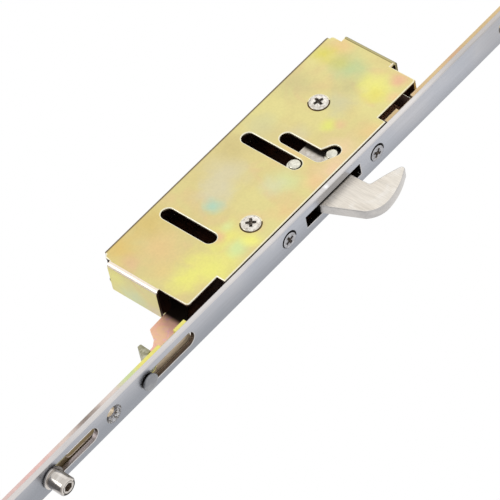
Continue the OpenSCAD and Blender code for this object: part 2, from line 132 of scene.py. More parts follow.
@dataclass
class Graph:
    """Short calls that add and join shader nodes in one tree."""

    tree: bpy.types.NodeTree

    def node(self, kind: str, **settings: object) -> bpy.types.Node:
        """Adds a node.

        Args:
            kind: Blender's name of the node type.
            **settings: Properties to set on it.

        Returns:
            The new node.
        """
        made = self.tree.nodes.new(kind)
        for name, value in settings.items():
            setattr(made, name, value)
        return made

    def feed(self, socket: Socket, value: object) -> None:
        """Links a socket to another socket, or sets its plain value.

        Args:
            socket: The input to feed.
            value: An output socket, a number, a vector or a colour.
        """
        if isinstance(value, bpy.types.NodeSocket):
            self.tree.links.new(value, socket)
        elif isinstance(value, (tuple, list)) and len(value) == 3 and socket.type == "RGBA":
            socket.default_value = (*value, 1.0)
        else:
            socket.default_value = value

    def maths(self, operation: str, first: object, second: object = 0.0) -> Socket:
        """Adds a Math node.

        Args:
            operation: The operation's name, such as ADD.
            first: The first value or socket.
            second: The second value or socket.

        Returns:
            The result's socket.
        """
        made = self.node("ShaderNodeMath", operation=operation)
        self.feed(made.inputs[0], first)
        self.feed(made.inputs[1], second)
        return made.outputs[0]

    def vector_maths(self, operation: str, first: object, second: object) -> bpy.types.Node:
        """Adds a Vector Math node.

        Args:
            operation: The operation's name, such as DISTANCE.
            first: The first vector or socket.
            second: The second vector or socket.

        Returns:
            The node, whose outputs are Vector and Value.
        """
        made = self.node("ShaderNodeVectorMath", operation=operation)
        self.feed(made.inputs[0], first)
        self.feed(made.inputs[1], second)
        return made

    def scale(self, vector: object, factor: object) -> Socket:
        """Multiplies a vector or a colour by a number.

        Args:
            vector: The vector or socket.
            factor: The number or socket.

        Returns:
            The result's socket.
        """
        made = self.node("ShaderNodeVectorMath", operation="SCALE")
        self.feed(made.inputs[0], vector)
        self.feed(made.inputs["Scale"], factor)
        return made.outputs[0]

    def remap(self, value: object, low: object, high: object, start: object, end: object) -> Socket:
        """Maps one range smoothly onto another, clamped at both ends.

        Args:
            value: The value to map.
            low: The value that becomes start.
            high: The value that becomes end.
            start: The first end of the new range.
            end: The second end of the new range.

        Returns:
            The mapped value's socket.
        """
        made = self.node("ShaderNodeMapRange", interpolation_type="SMOOTHSTEP", clamp=True)
        for index, part in enumerate((value, low, high, start, end)):
            self.feed(made.inputs[index], part)
        return made.outputs[0]

    def mix(self, factor: object, first: object, second: object) -> Socket:
        """Mixes two colours.

        Args:
            factor: The share of the second colour.
            first: The first colour.
            second: The second colour.

        Returns:
            The mixed colour's socket.
        """
        made = self.node("ShaderNodeMix", data_type="RGBA")
        self.feed(made.inputs[0], factor)
        self.feed(made.inputs[6], first)
        self.feed(made.inputs[7], second)
        return made.outputs[2]

    def noise(self, vector: Socket, scale: object, detail: float, distortion: float = 0.0) -> Socket:
        """Adds a noise texture.

        Args:
            vector: The coordinates.
            scale: How many features lie on a metre.
            detail: The number of finer layers.
            distortion: How much the pattern is swirled.

        Returns:
            The noise value's socket, about 0.5 on average.
        """
        made = self.node("ShaderNodeTexNoise")
        self.feed(made.inputs["Vector"], vector)
        self.feed(made.inputs["Scale"], scale)
        made.inputs["Detail"].default_value = detail
        made.inputs["Distortion"].default_value = distortion
        return made.outputs["Fac"]

    def group(self, tree: bpy.types.NodeTree, **values: object) -> bpy.types.Node:
        """Places a node group.

        Args:
            tree: The group.
            **values: Its inputs by name, with underscores for spaces.

        Returns:
            The group's node.
        """
        made = self.node("ShaderNodeGroup")
        made.node_tree = tree
        for name, value in values.items():
            self.feed(made.inputs[name.replace("_", " ")], value)
        return made


class FinishGroups:
    """The effects that several finishes share, each built once as a node group."""

    def __init__(self) -> None:
        """Builds the groups."""
        self.grain = self._grain()
        self.mottle = self._mottle()
        self.patch = self._patch()
        self.fade = self._fade()
        self.handling = self._handling()

    @staticmethod
    def _new(name: str, inputs: dict[str, tuple[str, object]], outputs: dict[str, str]) -> tuple:
        """Starts a group.

        Args:
            name: The group's name.
            inputs: Socket type and plain value of each input, by name.
            outputs: Socket type of each output, by name.

        Returns:
            The graph, the group's input node and its output node.
        """
        tree = bpy.data.node_groups.new(name, "ShaderNodeTree")
        for label, (kind, value) in inputs.items():
            made = tree.interface.new_socket(name=label, in_out="INPUT", socket_type=kind)
            if value is not None:
                made.default_value = value
        for label, kind in outputs.items():
            tree.interface.new_socket(name=label, in_out="OUTPUT", socket_type=kind)
        graph = Graph(tree)
        return graph, graph.node("NodeGroupInput"), graph.node("NodeGroupOutput")

    def _grain(self) -> bpy.types.NodeTree:
        """Builds the fine drawn or brushed lines of a metal surface.

        Returns:
            The group.
        """
        graph, given, result = self._new(
            "brushed_grain",
            {
                "Coordinates": ("NodeSocketVector", None),
                "Stretch": ("NodeSocketVector", (1.0, 1.0, 1.0)),
                "Depth": ("NodeSocketFloat", 1.0),
            },
            {"Height": "NodeSocketFloat", "Tone": "NodeSocketFloat"},
        )
        drawn = graph.vector_maths("MULTIPLY", given.outputs["Coordinates"], given.outputs["Stretch"])
        fine = graph.noise(drawn.outputs[0], scale=1.0, detail=3.0)
        coarse = graph.noise(drawn.outputs[0], scale=0.27, detail=2.0)
        lines = graph.maths("ADD", graph.maths("MULTIPLY", fine, 0.7), graph.maths("MULTIPLY", coarse, 0.3))
        centred = graph.maths("SUBTRACT", lines, 0.5)
        deep = graph.maths("MULTIPLY", centred, given.outputs["Depth"])
        graph.feed(result.inputs["Height"], deep)
        graph.feed(result.inputs["Tone"], graph.maths("ADD", deep, 0.5))
        return graph.tree

    def _mottle(self) -> bpy.types.NodeTree:
        """Builds the drifting colours of a passivated zinc plating.

        Returns:
            The group.
        """
        graph, given, result = self._new(
            "plating_mottle",
            {
                "Coordinates": ("NodeSocketVector", None),
                "Density": ("NodeSocketFloat", 40.0),
                "First": ("NodeSocketColor", (1.0, 1.0, 1.0, 1.0)),
                "Second": ("NodeSocketColor", (1.0, 1.0, 1.0, 1.0)),
                "Third": ("NodeSocketColor", (1.0, 1.0, 1.0, 1.0)),
            },
            {"Color": "NodeSocketColor"},
        )
        where = given.outputs["Coordinates"]
        wide = graph.noise(where, given.outputs["Density"], detail=2.5, distortion=0.7)
        moved = graph.vector_maths("ADD", where, (0.31, 0.17, 0.53))
        finer = graph.maths("MULTIPLY", given.outputs["Density"], 1.6)
        other = graph.noise(moved.outputs[0], finer, detail=2.0, distortion=0.9)
        first = graph.remap(wide, 0.38, 0.62, 0.0, 1.0)
        second = graph.remap(other, 0.5, 0.72, 0.0, 0.85)
        colour = graph.mix(first, given.outputs["First"], given.outputs["Second"])
        graph.feed(result.inputs["Color"], graph.mix(second, colour, given.outputs["Third"]))
        return graph.tree

    def _patch(self) -> bpy.types.NodeTree:
        """Builds the mask of one soft-edged tinted patch.

        Returns:
            The group.
        """
        graph, given, result = self._new(
            "tinted_patch",
            {
                "Coordinates": ("NodeSocketVector", None),
                "Centre": ("NodeSocketVector", (0.0, 0.0, 0.0)),
                "Radius": ("NodeSocketFloat", 0.01),
                "Strength": ("NodeSocketFloat", 0.5),
            },
            {"Mask": "NodeSocketFloat"},
        )
        where = given.outputs["Coordinates"]
        away = graph.vector_maths("DISTANCE", where, given.outputs["Centre"])
        drift = graph.noise(where, scale=110.0, detail=3.0, distortion=0.5)
        ragged = graph.maths("MULTIPLY", drift, given.outputs["Radius"])
        reach = graph.maths("ADD", away.outputs["Value"], ragged)
        near = graph.maths("MULTIPLY", given.outputs["Radius"], 0.5)
        far = graph.maths("MULTIPLY", given.outputs["Radius"], 1.6)
        graph.feed(result.inputs["Mask"], graph.remap(reach, near, far, given.outputs["Strength"], 0.0))
        return graph.tree

    def _fade(self) -> bpy.types.NodeTree:
        """Builds the mask of a tint that comes in along a direction, used for real tints and for painted
        shade.

        Returns:
            The group.
        """
        graph, given, result = self._new(
            "tint_and_shade_fade",
            {
                "Coordinates": ("NodeSocketVector", None),
                "Direction": ("NodeSocketVector", (0.0, 0.0, 1.0)),
                "Start": ("NodeSocketFloat", 0.0),
                "End": ("NodeSocketFloat", 0.01),
                "Strength": ("NodeSocketFloat", 0.5),
                "Raggedness": ("NodeSocketFloat", 0.0),
            },
            {"Mask": "NodeSocketFloat"},
        )
        where = given.outputs["Coordinates"]
        along = graph.vector_maths("DOT_PRODUCT", where, given.outputs["Direction"]).outputs["Value"]
        drift = graph.maths("SUBTRACT", graph.noise(where, scale=140.0, detail=3.0, distortion=0.6), 0.5)
        moved = graph.maths("ADD", along, graph.maths("MULTIPLY", drift, given.outputs["Raggedness"]))
        start, end, strength = (given.outputs[name] for name in ("Start", "End", "Strength"))
        graph.feed(result.inputs["Mask"], graph.remap(moved, start, end, 0.0, strength))
        return graph.tree

    def _handling(self) -> bpy.types.NodeTree:
        """Builds the faint smears and pinholes that handling leaves in a gloss.

        Returns:
            The group.
        """
        graph, given, result = self._new(
            "handling_marks",
            {"Coordinates": ("NodeSocketVector", None), "Amount": ("NodeSocketFloat", 0.1)},
            {"Roughness": "NodeSocketFloat", "Height": "NodeSocketFloat"},
        )
        where = given.outputs["Coordinates"]
        smear = graph.maths("SUBTRACT", graph.noise(where, scale=85.0, detail=4.0, distortion=0.4), 0.5)
        pin = graph.maths("SUBTRACT", graph.noise(where, scale=1500.0, detail=2.0), 0.5)
        both = graph.maths("ADD", smear, graph.maths("MULTIPLY", pin, 0.5))
        graph.feed(result.inputs["Roughness"], graph.maths("MULTIPLY", both, given.outputs["Amount"]))
        graph.feed(result.inputs["Height"], pin)
        return graph.tree


@dataclass(frozen=True)
class Patch:
    """A tinted patch on a plated surface, with its centre and radius in millimetres. One of them is a
    painted glint.
    """

    centre: Point
    radius: float
    colour: Colour
    strength: float


@dataclass(frozen=True)
class Fade:
    """A tint that comes in along a direction, from one distance to another in millimetres. Many are painted
    shade, highlights and reflections.
    """

    direction: Point
    start: float
    end: float
    colour: Colour
    strength: float = 1.0
    ragged: float = 0.0


# How much the grain roughens the gloss, how much handling dents add to the bump, and its depth
GRAIN_GLOSS = 0.35
DENT_SHARE = 0.3
BUMP_DEPTH = 0.1 * MM


@dataclass(frozen=True)
class MetalFinish:
    """A metal surface: its drifting colours, gloss, grain, tinted patches and fades, many of which are
    painted shade and highlights.
    """

    name: str
    colours: tuple[Colour, Colour, Colour]
    metallic: float
    roughness: float
    density: float = 40.0
    stretch: Point = (900.0, 900.0, 900.0)
    depth: float = 0.4
    bump: float = 0.05
    handling: float = 0.12
    tones: tuple[float, float] = (0.88, 1.08)
    patches: tuple[Patch, ...] = ()
    fades: tuple[Fade, ...] = ()

    def build(self, groups: FinishGroups) -> bpy.types.Material:
        """Builds the material.

        Args:
            groups: The shared node groups.

        Returns:
            The material.
        """
        made = bpy.data.materials.new(self.name)
        made.use_nodes = True
        graph = Graph(made.node_tree)
        shader = made.node_tree.nodes["Principled BSDF"]
        where = graph.node("ShaderNodeTexCoord").outputs["Object"]
        colour = self._tinted(graph, groups, where)
        grain = graph.group(groups.grain, Coordinates=where, Stretch=self.stretch, Depth=self.depth)
        marks = graph.group(groups.handling, Coordinates=where, Amount=self.handling)
        tone = graph.remap(grain.outputs["Tone"], 0.3, 0.7, *self.tones)
        graph.feed(shader.inputs["Base Color"], graph.scale(colour, tone))
        shader.inputs["Metallic"].default_value = self.metallic
        rough = graph.maths("MULTIPLY", grain.outputs["Height"], GRAIN_GLOSS)
        rough = graph.maths("ADD", rough, self.roughness)
        graph.feed(shader.inputs["Roughness"], graph.maths("ADD", rough, marks.outputs["Roughness"]))
        dents = graph.maths("MULTIPLY", marks.outputs["Height"], DENT_SHARE)
        bump = graph.node("ShaderNodeBump")
        bump.inputs["Strength"].default_value = self.bump
        bump.inputs["Distance"].default_value = BUMP_DEPTH
        graph.feed(bump.inputs["Height"], graph.maths("ADD", grain.outputs["Height"], dents))
        graph.feed(shader.inputs["Normal"], bump.outputs["Normal"])
        return made

    def _tinted(self, graph: Graph, groups: FinishGroups, where: Socket) -> Socket:
        """Lays the patches and the fades over the drifting colours.

        Args:
            graph: The material's graph.
            groups: The shared node groups.
            where: The object's coordinates.

        Returns:
            The colour's socket.
        """
        mottle = graph.group(
            groups.mottle,
            Coordinates=where,
            Density=self.density,
            **dict(zip(("First", "Second", "Third"), self.colours)),
        )
        colour = mottle.outputs["Color"]
        for patch in self.patches:
            mask = graph.group(
                groups.patch,
                Coordinates=where,
                Centre=tuple(c * MM for c in patch.centre),
                Radius=patch.radius * MM,
                Strength=patch.strength,
            )
            colour = graph.mix(mask.outputs["Mask"], colour, patch.colour)
        for fade in self.fades:
            mask = graph.group(
                groups.fade,
                Coordinates=where,
                Direction=fade.direction,
                Start=fade.start * MM,
                End=fade.end * MM,
                Strength=fade.strength,
                Raggedness=fade.ragged * MM,
            )
            colour = graph.mix(mask.outputs["Mask"], colour, fade.colour)
        return colour


class FinishRack:
    """Builds each finish the first time that it is asked for."""

    def __init__(self) -> None:
        """Builds the shared groups and starts with no finish."""
        self._groups = FinishGroups()
        self._made: dict[str, bpy.types.Material] = {}

    def material(self, finish: MetalFinish) -> bpy.types.Material:
        """Returns the material of a finish."""
        if finish.name not in self._made:
            self._made[finish.name] = finish.build(self._groups)
        return self._made[finish.name]


# Finishes


STRAW = linear(219, 204, 142)
GOLD = linear(218, 194, 122)
AMBER = linear(226, 196, 120)
LEMON = linear(236, 232, 128)
PEACH = linear(232, 200, 142)
ROSE = linear(232, 184, 150)
SAGE = linear(190, 206, 152)
MINT = linear(176, 212, 190)
PALE = linear(216, 208, 176)
KHAKI = linear(200, 192, 140)
# Near black, for painted shade
SHADE_BLACK = linear(26, 18, 12)

# Directions in which fades come in
UP = (0.0, 0.0, 1.0)
DOWN = (0.0, 0.0, -1.0)
INWARD = (-1.0, 0.0, 0.0)
TO_BASE = (0.0, 1.0, 0.0)
TO_COVER = (0.0, -1.0, 0.0)

# How dense the grain of a metal is along X, Y and Z
ROLLED_UP = (2600.0, 2600.0, 90.0)
GROUND_ACROSS = (160.0, 3000.0, 3000.0)
TURNED_ROUND = (5200.0, 120.0, 120.0)

# The cover's outer face on Y and the roller's axis on Z, in millimetres
COVER_FACE = -8.6
ROLLER_HEIGHT = -172.6

SATIN_ZINC = MetalFinish(
    name="satin_zinc",
    colours=(linear(192, 193, 199), linear(184, 187, 195), linear(197, 197, 201)),
    metallic=0.85,
    roughness=0.34,
    density=22.0,
    stretch=ROLLED_UP,
    depth=0.45,
    fades=(
        Fade(UP, 100.0, 128.0, linear(180, 180, 184), 1.0),
        # Painted shade: the face grows darker across the plate towards the base plate's side
        Fade((0.0, 1.0, -0.045), -7.0, 10.0, linear(152, 155, 162), 0.95),
    ),
)
# Lighter than the face: a painted highlight on the faceplate's rolled sides and broken edges, with a
# painted white glint beside the hook; the fade darkens it towards the top
ZINC_EDGE_HIGHLIGHT = MetalFinish(
    name="zinc_edge_highlight",
    colours=(linear(216, 212, 210), linear(206, 203, 203), linear(222, 217, 214)),
    metallic=0.85,
    roughness=0.3,
    density=22.0,
    stretch=ROLLED_UP,
    patches=(Patch((1.6, -8.0, 9.3), 1.8, linear(255, 255, 255), 1.0),),
    fades=(Fade(UP, 70.0, 104.0, linear(188, 184, 182), 1.0),),
)
# Soft tints in the cover's rainbow film: how far across and up the cover each one lies and how
# far it reaches, in millimetres, then its colour and its strength
COVER_TINTS: tuple[tuple[float, float, float, Colour, float], ...] = (
    (-34.0, 68.0, 12.0, SAGE, 0.9),
    (-28.0, 59.0, 10.0, KHAKI, 0.8),
    (-17.0, 66.0, 11.0, LEMON, 0.85),
    (-11.0, 75.0, 6.0, ROSE, 0.9),
    (-46.0, 77.0, 8.0, PEACH, 0.8),
    (-49.0, 69.0, 8.0, linear(218, 208, 96), 0.8),
    (-49.0, 48.0, 14.0, KHAKI, 0.6),
    (-22.0, 14.0, 12.0, PEACH, 0.6),
    (-6.6, 29.0, 12.0, linear(236, 208, 168), 0.7),
    (-40.0, -10.0, 15.0, PALE, 0.7),
    (-15.5, 2.0, 10.0, linear(212, 220, 160), 0.7),
    (-36.0, -21.0, 12.0, PALE, 0.75),
    (-32.5, -27.7, 6.5, MINT, 0.9),
    (-36.0, -58.0, 14.0, PEACH, 0.8),
    (-50.0, -50.0, 13.0, GOLD, 0.9),
    (-51.0, -68.0, 12.0, AMBER, 0.9),
    (-15.0, -36.0, 12.0, LEMON, 0.85),
    (-9.4, -54.0, 17.0, LEMON, 0.95),
    (-16.0, -66.0, 11.0, LEMON, 0.9),
    (-8.0, -39.0, 7.0, linear(212, 232, 166), 0.8),
    (-18.7, -39.0, 5.0, ROSE, 0.7),
    (-11.8, -25.5, 8.0, ROSE, 0.6),
    (-20.0, 37.0, 5.0, linear(226, 230, 118), 0.75),
    (-16.0, 40.0, 4.0, ROSE, 0.5),
    (-2.0, 18.0, 9.0, linear(240, 204, 170), 0.75),
    (-2.5, 45.0, 8.0, PEACH, 0.7),
    (-24.0, 50.0, 10.0, linear(206, 200, 160), 0.8),
    (-4.0, -12.0, 8.0, PEACH, 0.7),
    (-6.0, -32.0, 6.0, linear(244, 240, 130), 0.8),
    (-44.0, 20.0, 12.0, linear(208, 204, 158), 0.6),
    (-42.0, -72.0, 7.0, ROSE, 0.5),
    (-26.0, -68.0, 8.0, linear(232, 206, 140), 0.7),
    (-44.0, -40.0, 6.0, linear(232, 192, 128), 0.6),
    (-40.0, 69.0, 7.0, linear(204, 200, 116), 0.7),
    (-14.0, 62.0, 7.0, linear(226, 214, 108), 0.7),
    (-18.0, -4.0, 8.0, linear(216, 214, 174), 0.7),
    (-19.5, -32.4, 5.0, linear(220, 230, 162), 0.7),
    (-47.0, 3.0, 11.0, linear(206, 190, 132), 0.7),
    (-6.0, 66.0, 5.0, linear(240, 196, 150), 0.6),
    (-4.0, 8.0, 7.0, linear(240, 198, 150), 0.6),
    (-28.0, 26.0, 7.0, linear(214, 206, 166), 0.6),
)
COVER_PLATING = MetalFinish(
    name="yellow_passivate",
    colours=(STRAW, linear(224, 214, 146), linear(223, 200, 144)),
    metallic=0.8,
    roughness=0.34,
    density=34.0,
    depth=0.3,
    patches=(
        *(Patch((x, COVER_FACE, z), reach, colour, share) for x, z, reach, colour, share in COVER_TINTS),
        Patch((-46.0, -3.0, -78.0), 9.0, LEMON, 0.6),
        Patch((-36.0, 6.0, -78.0), 10.0, linear(206, 216, 176), 0.8),
        Patch((-24.0, 7.0, -78.0), 7.0, linear(216, 200, 170), 0.8),
    ),
    # The fades paint shade and reflection bands: a dark band round the rear bend, and dark and light bands
    # round the upper bend, each going back to the straw plating beyond the bend
    fades=(
        Fade(INWARD, 53.7, 54.5, linear(104, 84, 54), 1.0),
        Fade(INWARD, 55.7, 55.95, STRAW, 1.0),
        Fade(UP, 80.95, 81.25, linear(122, 108, 66), 0.9),
        Fade(UP, 81.35, 81.7, linear(190, 180, 126), 0.9),
        Fade(UP, 82.5, 83.0, linear(104, 92, 58), 1.0),
        Fade(UP, 83.45, 83.65, STRAW, 1.0),
    ),
)
# Near white: a painted highlight on the cover's rolled and sheared edges and on the lit side of the screw
# seats
COVER_EDGE_HIGHLIGHT = MetalFinish(
    name="passivate_edge_highlight",
    colours=(linear(255, 249, 224), linear(255, 248, 210), linear(255, 242, 220)),
    metallic=0.6,
    roughness=0.26,
    density=30.0,
)
# A painted highlight on the cover's lower bend
COVER_BEND_HIGHLIGHT = MetalFinish(
    name="passivate_bend_highlight",
    colours=(linear(255, 240, 222), linear(255, 244, 226), linear(252, 228, 208)),
    metallic=0.7,
    roughness=0.22,
    density=30.0,
)
SLOT_SHADE = MetalFinish(
    name="passivate_shade",
    colours=(linear(84, 62, 34), linear(60, 42, 24), linear(110, 84, 50)),
    metallic=0.7,
    roughness=0.4,
    density=120.0,
)
# Painted shade: dark brown for the case's inner faces and for the broken edges inside it
CASE_INSIDE_SHADE = MetalFinish(
    name="inside_painted_shade",
    colours=(linear(66, 34, 16), linear(48, 24, 12), linear(86, 46, 22)),
    metallic=0.4,
    roughness=0.6,
)
LOWER_BAR_PLATING = MetalFinish(
    name="pale_passivate",
    colours=(linear(222, 206, 196), linear(218, 200, 194), linear(226, 212, 204)),
    metallic=0.8,
    roughness=0.34,
    density=24.0,
    patches=(
        Patch((-1.0, -7.0, -145.0), 12.0, linear(142, 130, 122), 0.9),
        Patch((-1.0, -7.0, -178.0), 22.0, linear(234, 190, 184), 0.8),
    ),
    fades=(
        Fade(UP, -128.0, -118.0, linear(204, 222, 150), 0.8, 3.0),
        Fade(UP, -117.0, -110.0, linear(236, 226, 124), 0.95, 3.0),
    ),
)
UPPER_BAR_PLATING = MetalFinish(
    name="gold_passivate",
    colours=(linear(204, 178, 134), linear(214, 188, 142), linear(206, 170, 136)),
    metallic=0.8,
    roughness=0.34,
    density=24.0,
)
BAR_EDGE = MetalFinish(
    name="bar_edge",
    colours=(linear(228, 214, 182), linear(222, 204, 184), linear(226, 208, 172)),
    metallic=0.8,
    roughness=0.3,
)
# The bar's face seen through the faceplate's slots: the fade towards the base plate is painted shade under
# the slot's wall, and the other fades change its colour along the bar
BAR_FACE_SHADE = MetalFinish(
    name="bar_face_painted_shade",
    colours=(linear(206, 202, 168), linear(190, 186, 146), linear(212, 208, 180)),
    metallic=0.7,
    roughness=0.42,
    density=70.0,
    stretch=ROLLED_UP,
    depth=1.4,
    tones=(0.78, 1.14),
    fades=(
        Fade(TO_BASE, -0.6, 1.4, linear(110, 86, 54), 0.85),
        Fade(UP, -142.0, -136.0, linear(214, 196, 168), 0.95),
        Fade(UP, 120.0, 176.0, linear(222, 198, 146), 1.0),
        Fade(DOWN, 183.0, 209.0, linear(218, 206, 146), 1.0),
    ),
)
# Painted shade on the faceplate's slot walls: light round the roller, near black below the lower stud and
# in the hook slot, brown between, lighter near the upper stud, and darker on the walls on the cover's side
SLOT_WALL_SHADE = MetalFinish(
    name="slot_wall_painted_shade",
    colours=(linear(172, 160, 160), linear(146, 136, 136), linear(190, 180, 182)),
    metallic=0.7,
    roughness=0.4,
    density=120.0,
    stretch=ROLLED_UP,
    depth=1.4,
    tones=(0.55, 1.3),
    fades=(
        Fade(UP, -140.0, -136.0, linear(112, 98, 86), 0.85),
        Fade(UP, -70.0, -60.0, linear(20, 17, 15), 1.0),
        Fade(DOWN, 109.5, 111.5, linear(22, 19, 17), 1.0),
        Fade(DOWN, 129.0, 130.0, linear(172, 160, 160), 1.0),
        Fade(UP, 90.0, 100.0, linear(150, 142, 138), 1.0),
        Fade(TO_COVER, -1.8, 0.2, linear(34, 28, 24), 0.95),
    ),
)
# Painted glints and dark reflections mottled over the countersink of the door-fixing hole
SUNK_GLINT = MetalFinish(
    name="sunk_glint",
    colours=(linear(168, 168, 172), linear(78, 70, 62), linear(238, 236, 232)),
    metallic=0.85,
    roughness=0.25,
    density=820.0,
    depth=0.8,
)
SLIDER_PLATING = MetalFinish(
    name="rose_passivate",
    colours=(linear(255, 196, 180), linear(255, 208, 170), linear(250, 190, 208)),
    metallic=0.4,
    roughness=0.36,
    density=150.0,
    tones=(0.94, 1.06),
    # The fades paint shade on the slider inside the case: near black from the case's lower end upwards, and
    # dim brown at its top end
    fades=(
        Fade(UP, -79.6, -76.4, SHADE_BLACK, 1.0),
        Fade(UP, 50.0, 54.0, linear(216, 160, 130), 1.0),
    ),
)
# Painted shade on the hook where it lies under the faceplate's front
SHADE_UNDER_PLATE = Fade(INWARD, -2.7, -2.2, SHADE_BLACK, 0.95)
BRUSHED_NICKEL = MetalFinish(
    name="brushed_nickel",
    colours=(linear(230, 223, 212), linear(220, 212, 200), linear(234, 229, 221)),
    metallic=0.85,
    roughness=0.36,
    density=55.0,
    stretch=GROUND_ACROSS,
    depth=0.9,
    bump=0.12,
    tones=(0.84, 1.1),
    fades=(SHADE_UNDER_PLATE,),
)
NICKEL_EDGE = MetalFinish(
    name="nickel_edge",
    colours=(linear(204, 200, 196), linear(190, 187, 185), linear(210, 206, 201)),
    metallic=0.9,
    roughness=0.3,
    fades=(SHADE_UNDER_PLATE,),
)
BOSS_NICKEL = MetalFinish(
    name="boss_nickel",
    colours=(linear(226, 218, 206), linear(206, 198, 186), linear(234, 228, 220)),
    metallic=0.6,
    roughness=0.34,
    density=120.0,
    # Painted shade over the upper end of the hook's boss
    fades=(Fade(UP, 22.7, 23.9, linear(40, 34, 28), 0.95, 1.6),),
)
BRIGHT_NICKEL = MetalFinish(
    name="bright_nickel",
    colours=(linear(224, 221, 206), linear(206, 203, 190), linear(232, 229, 216)),
    metallic=0.95,
    roughness=0.2,
    density=300.0,
)
SHADED_NICKEL = MetalFinish(
    name="shaded_nickel",
    colours=(linear(216, 212, 196), linear(200, 196, 182), linear(226, 222, 208)),
    metallic=0.9,
    roughness=0.24,
    density=300.0,
    fades=(Fade((0.7, 0.0, 0.7), -4.0, -3.2, linear(34, 27, 20), 0.95),),
)
SCREW_ZINC = MetalFinish(
    name="screw_zinc",
    colours=(linear(244, 239, 230), linear(220, 213, 203), linear(168, 158, 148)),
    metallic=0.9,
    roughness=0.24,
    density=520.0,
    depth=0.8,
)
SCREW_SATIN = MetalFinish(
    name="screw_satin",
    colours=(linear(178, 178, 182), linear(158, 157, 160), linear(208, 207, 209)),
    metallic=0.85,
    roughness=0.32,
    density=620.0,
    depth=0.6,
)
# Painted shade, flecked with small glints, in the screws' cross recesses and round the countersunk
# faceplate screws
RECESS_SHADE = MetalFinish(
    name="recess_painted_shade",
    colours=(linear(74, 64, 56), linear(44, 36, 32), linear(176, 164, 150)),
    metallic=0.7,
    roughness=0.4,
    density=900.0,
)
STUD_STEEL = MetalFinish(
    name="stud_steel",
    colours=(linear(152, 153, 156), linear(142, 143, 147), linear(160, 161, 163)),
    metallic=0.85,
    roughness=0.38,
    density=200.0,
)
TURNED_STAINLESS = MetalFinish(
    name="turned_stainless",
    colours=(linear(218, 212, 205), linear(196, 190, 184), linear(228, 223, 217)),
    metallic=0.95,
    roughness=0.18,
    stretch=TURNED_ROUND,
    depth=0.8,
    bump=0.1,
)
ROLLER_TOP = (0.0, -0.485, 0.874)
ROLLER_UNDER = (0.0, 0.485, -0.874)
ROLLER_AXIS = ROLLER_HEIGHT * ROLLER_TOP[2]
ROLLER_STEEL = replace(
    TURNED_STAINLESS,
    name="roller_steel",
    colours=(linear(222, 216, 209), linear(204, 198, 191), linear(234, 230, 225)),
    # The fades are painted reflections that turn with the roller: a dark band along its top and grey bands
    # along its underside
    fades=(
        Fade(ROLLER_TOP, ROLLER_AXIS + 3.5, ROLLER_AXIS + 4.2, linear(88, 82, 78), 0.9),
        Fade(ROLLER_UNDER, 1.0 - ROLLER_AXIS, 1.8 - ROLLER_AXIS, linear(156, 148, 142), 0.85),
        Fade(ROLLER_UNDER, 3.0 - ROLLER_AXIS, 3.8 - ROLLER_AXIS, linear(188, 183, 180), 0.9),
    ),
)
FLANGE_STEEL = replace(
    TURNED_STAINLESS,
    name="flange_steel",
    colours=(linear(214, 208, 202), linear(194, 188, 183), linear(224, 219, 214)),
    roughness=0.2,
    # Painted reflection: a dark band along the flange's top
    fades=(Fade(ROLLER_TOP, ROLLER_AXIS + 2.6, ROLLER_AXIS + 3.8, linear(96, 90, 86), 0.9),),
)
RIM_SIDE = (0.0, 0.93, 0.38)
RIM_AXIS = ROLLER_HEIGHT * RIM_SIDE[2]
RIM_STEEL = MetalFinish(
    name="rim_steel",
    colours=(linear(222, 216, 209), linear(204, 198, 191), linear(234, 230, 225)),
    metallic=0.9,
    roughness=0.25,
    density=300.0,
    # Painted shade: a near-black edge on the end ring's side towards the base plate
    fades=(Fade(RIM_SIDE, RIM_AXIS - 0.4, RIM_AXIS + 0.8, linear(18, 16, 15), 1.0),),
)
# Painted shade: brown-grey for the walls of the stem's hexagon socket
SOCKET_SHADE = MetalFinish(
    name="socket_painted_shade",
    colours=(linear(150, 134, 116), linear(120, 104, 90), linear(176, 162, 146)),
    metallic=0.6,
    roughness=0.4,
    density=500.0,
)
CAST_ZINC = MetalFinish(
    name="cast_zinc",
    colours=(linear(184, 181, 152), linear(150, 147, 120), linear(206, 203, 180)),
    metallic=0.6,
    roughness=0.5,
    density=200.0,
    bump=0.2,
)
# Painted shade: near black for the sunk shoulder of the guide studs
SUNK_SHADE = MetalFinish(
    name="sunk_painted_shade",
    colours=(linear(22, 19, 17), linear(18, 15, 14), linear(28, 24, 22)),
    metallic=0.4,
    roughness=0.5,
    density=300.0,
)
DARK_PHOSPHATE = MetalFinish(
    name="dark_phosphate",
    colours=(linear(52, 44, 38), linear(42, 36, 31), linear(60, 51, 44)),
    metallic=0.6,
    roughness=0.55,
    density=300.0,
)


# Mesh work


# How near corners are to be merged, and the angle in degrees under which an edge counts as flat
WELD = 0.002 * MM
FLAT_ANGLE = 0.6

# Shares of a face's normal, past which it counts as turned that way
SQUARELY = 0.95
NEARLY = 0.9
MOSTLY = 0.7
HALFWAY = 0.5
PARTLY = 0.3
SLIGHTLY = 0.2
BARELY = 0.1


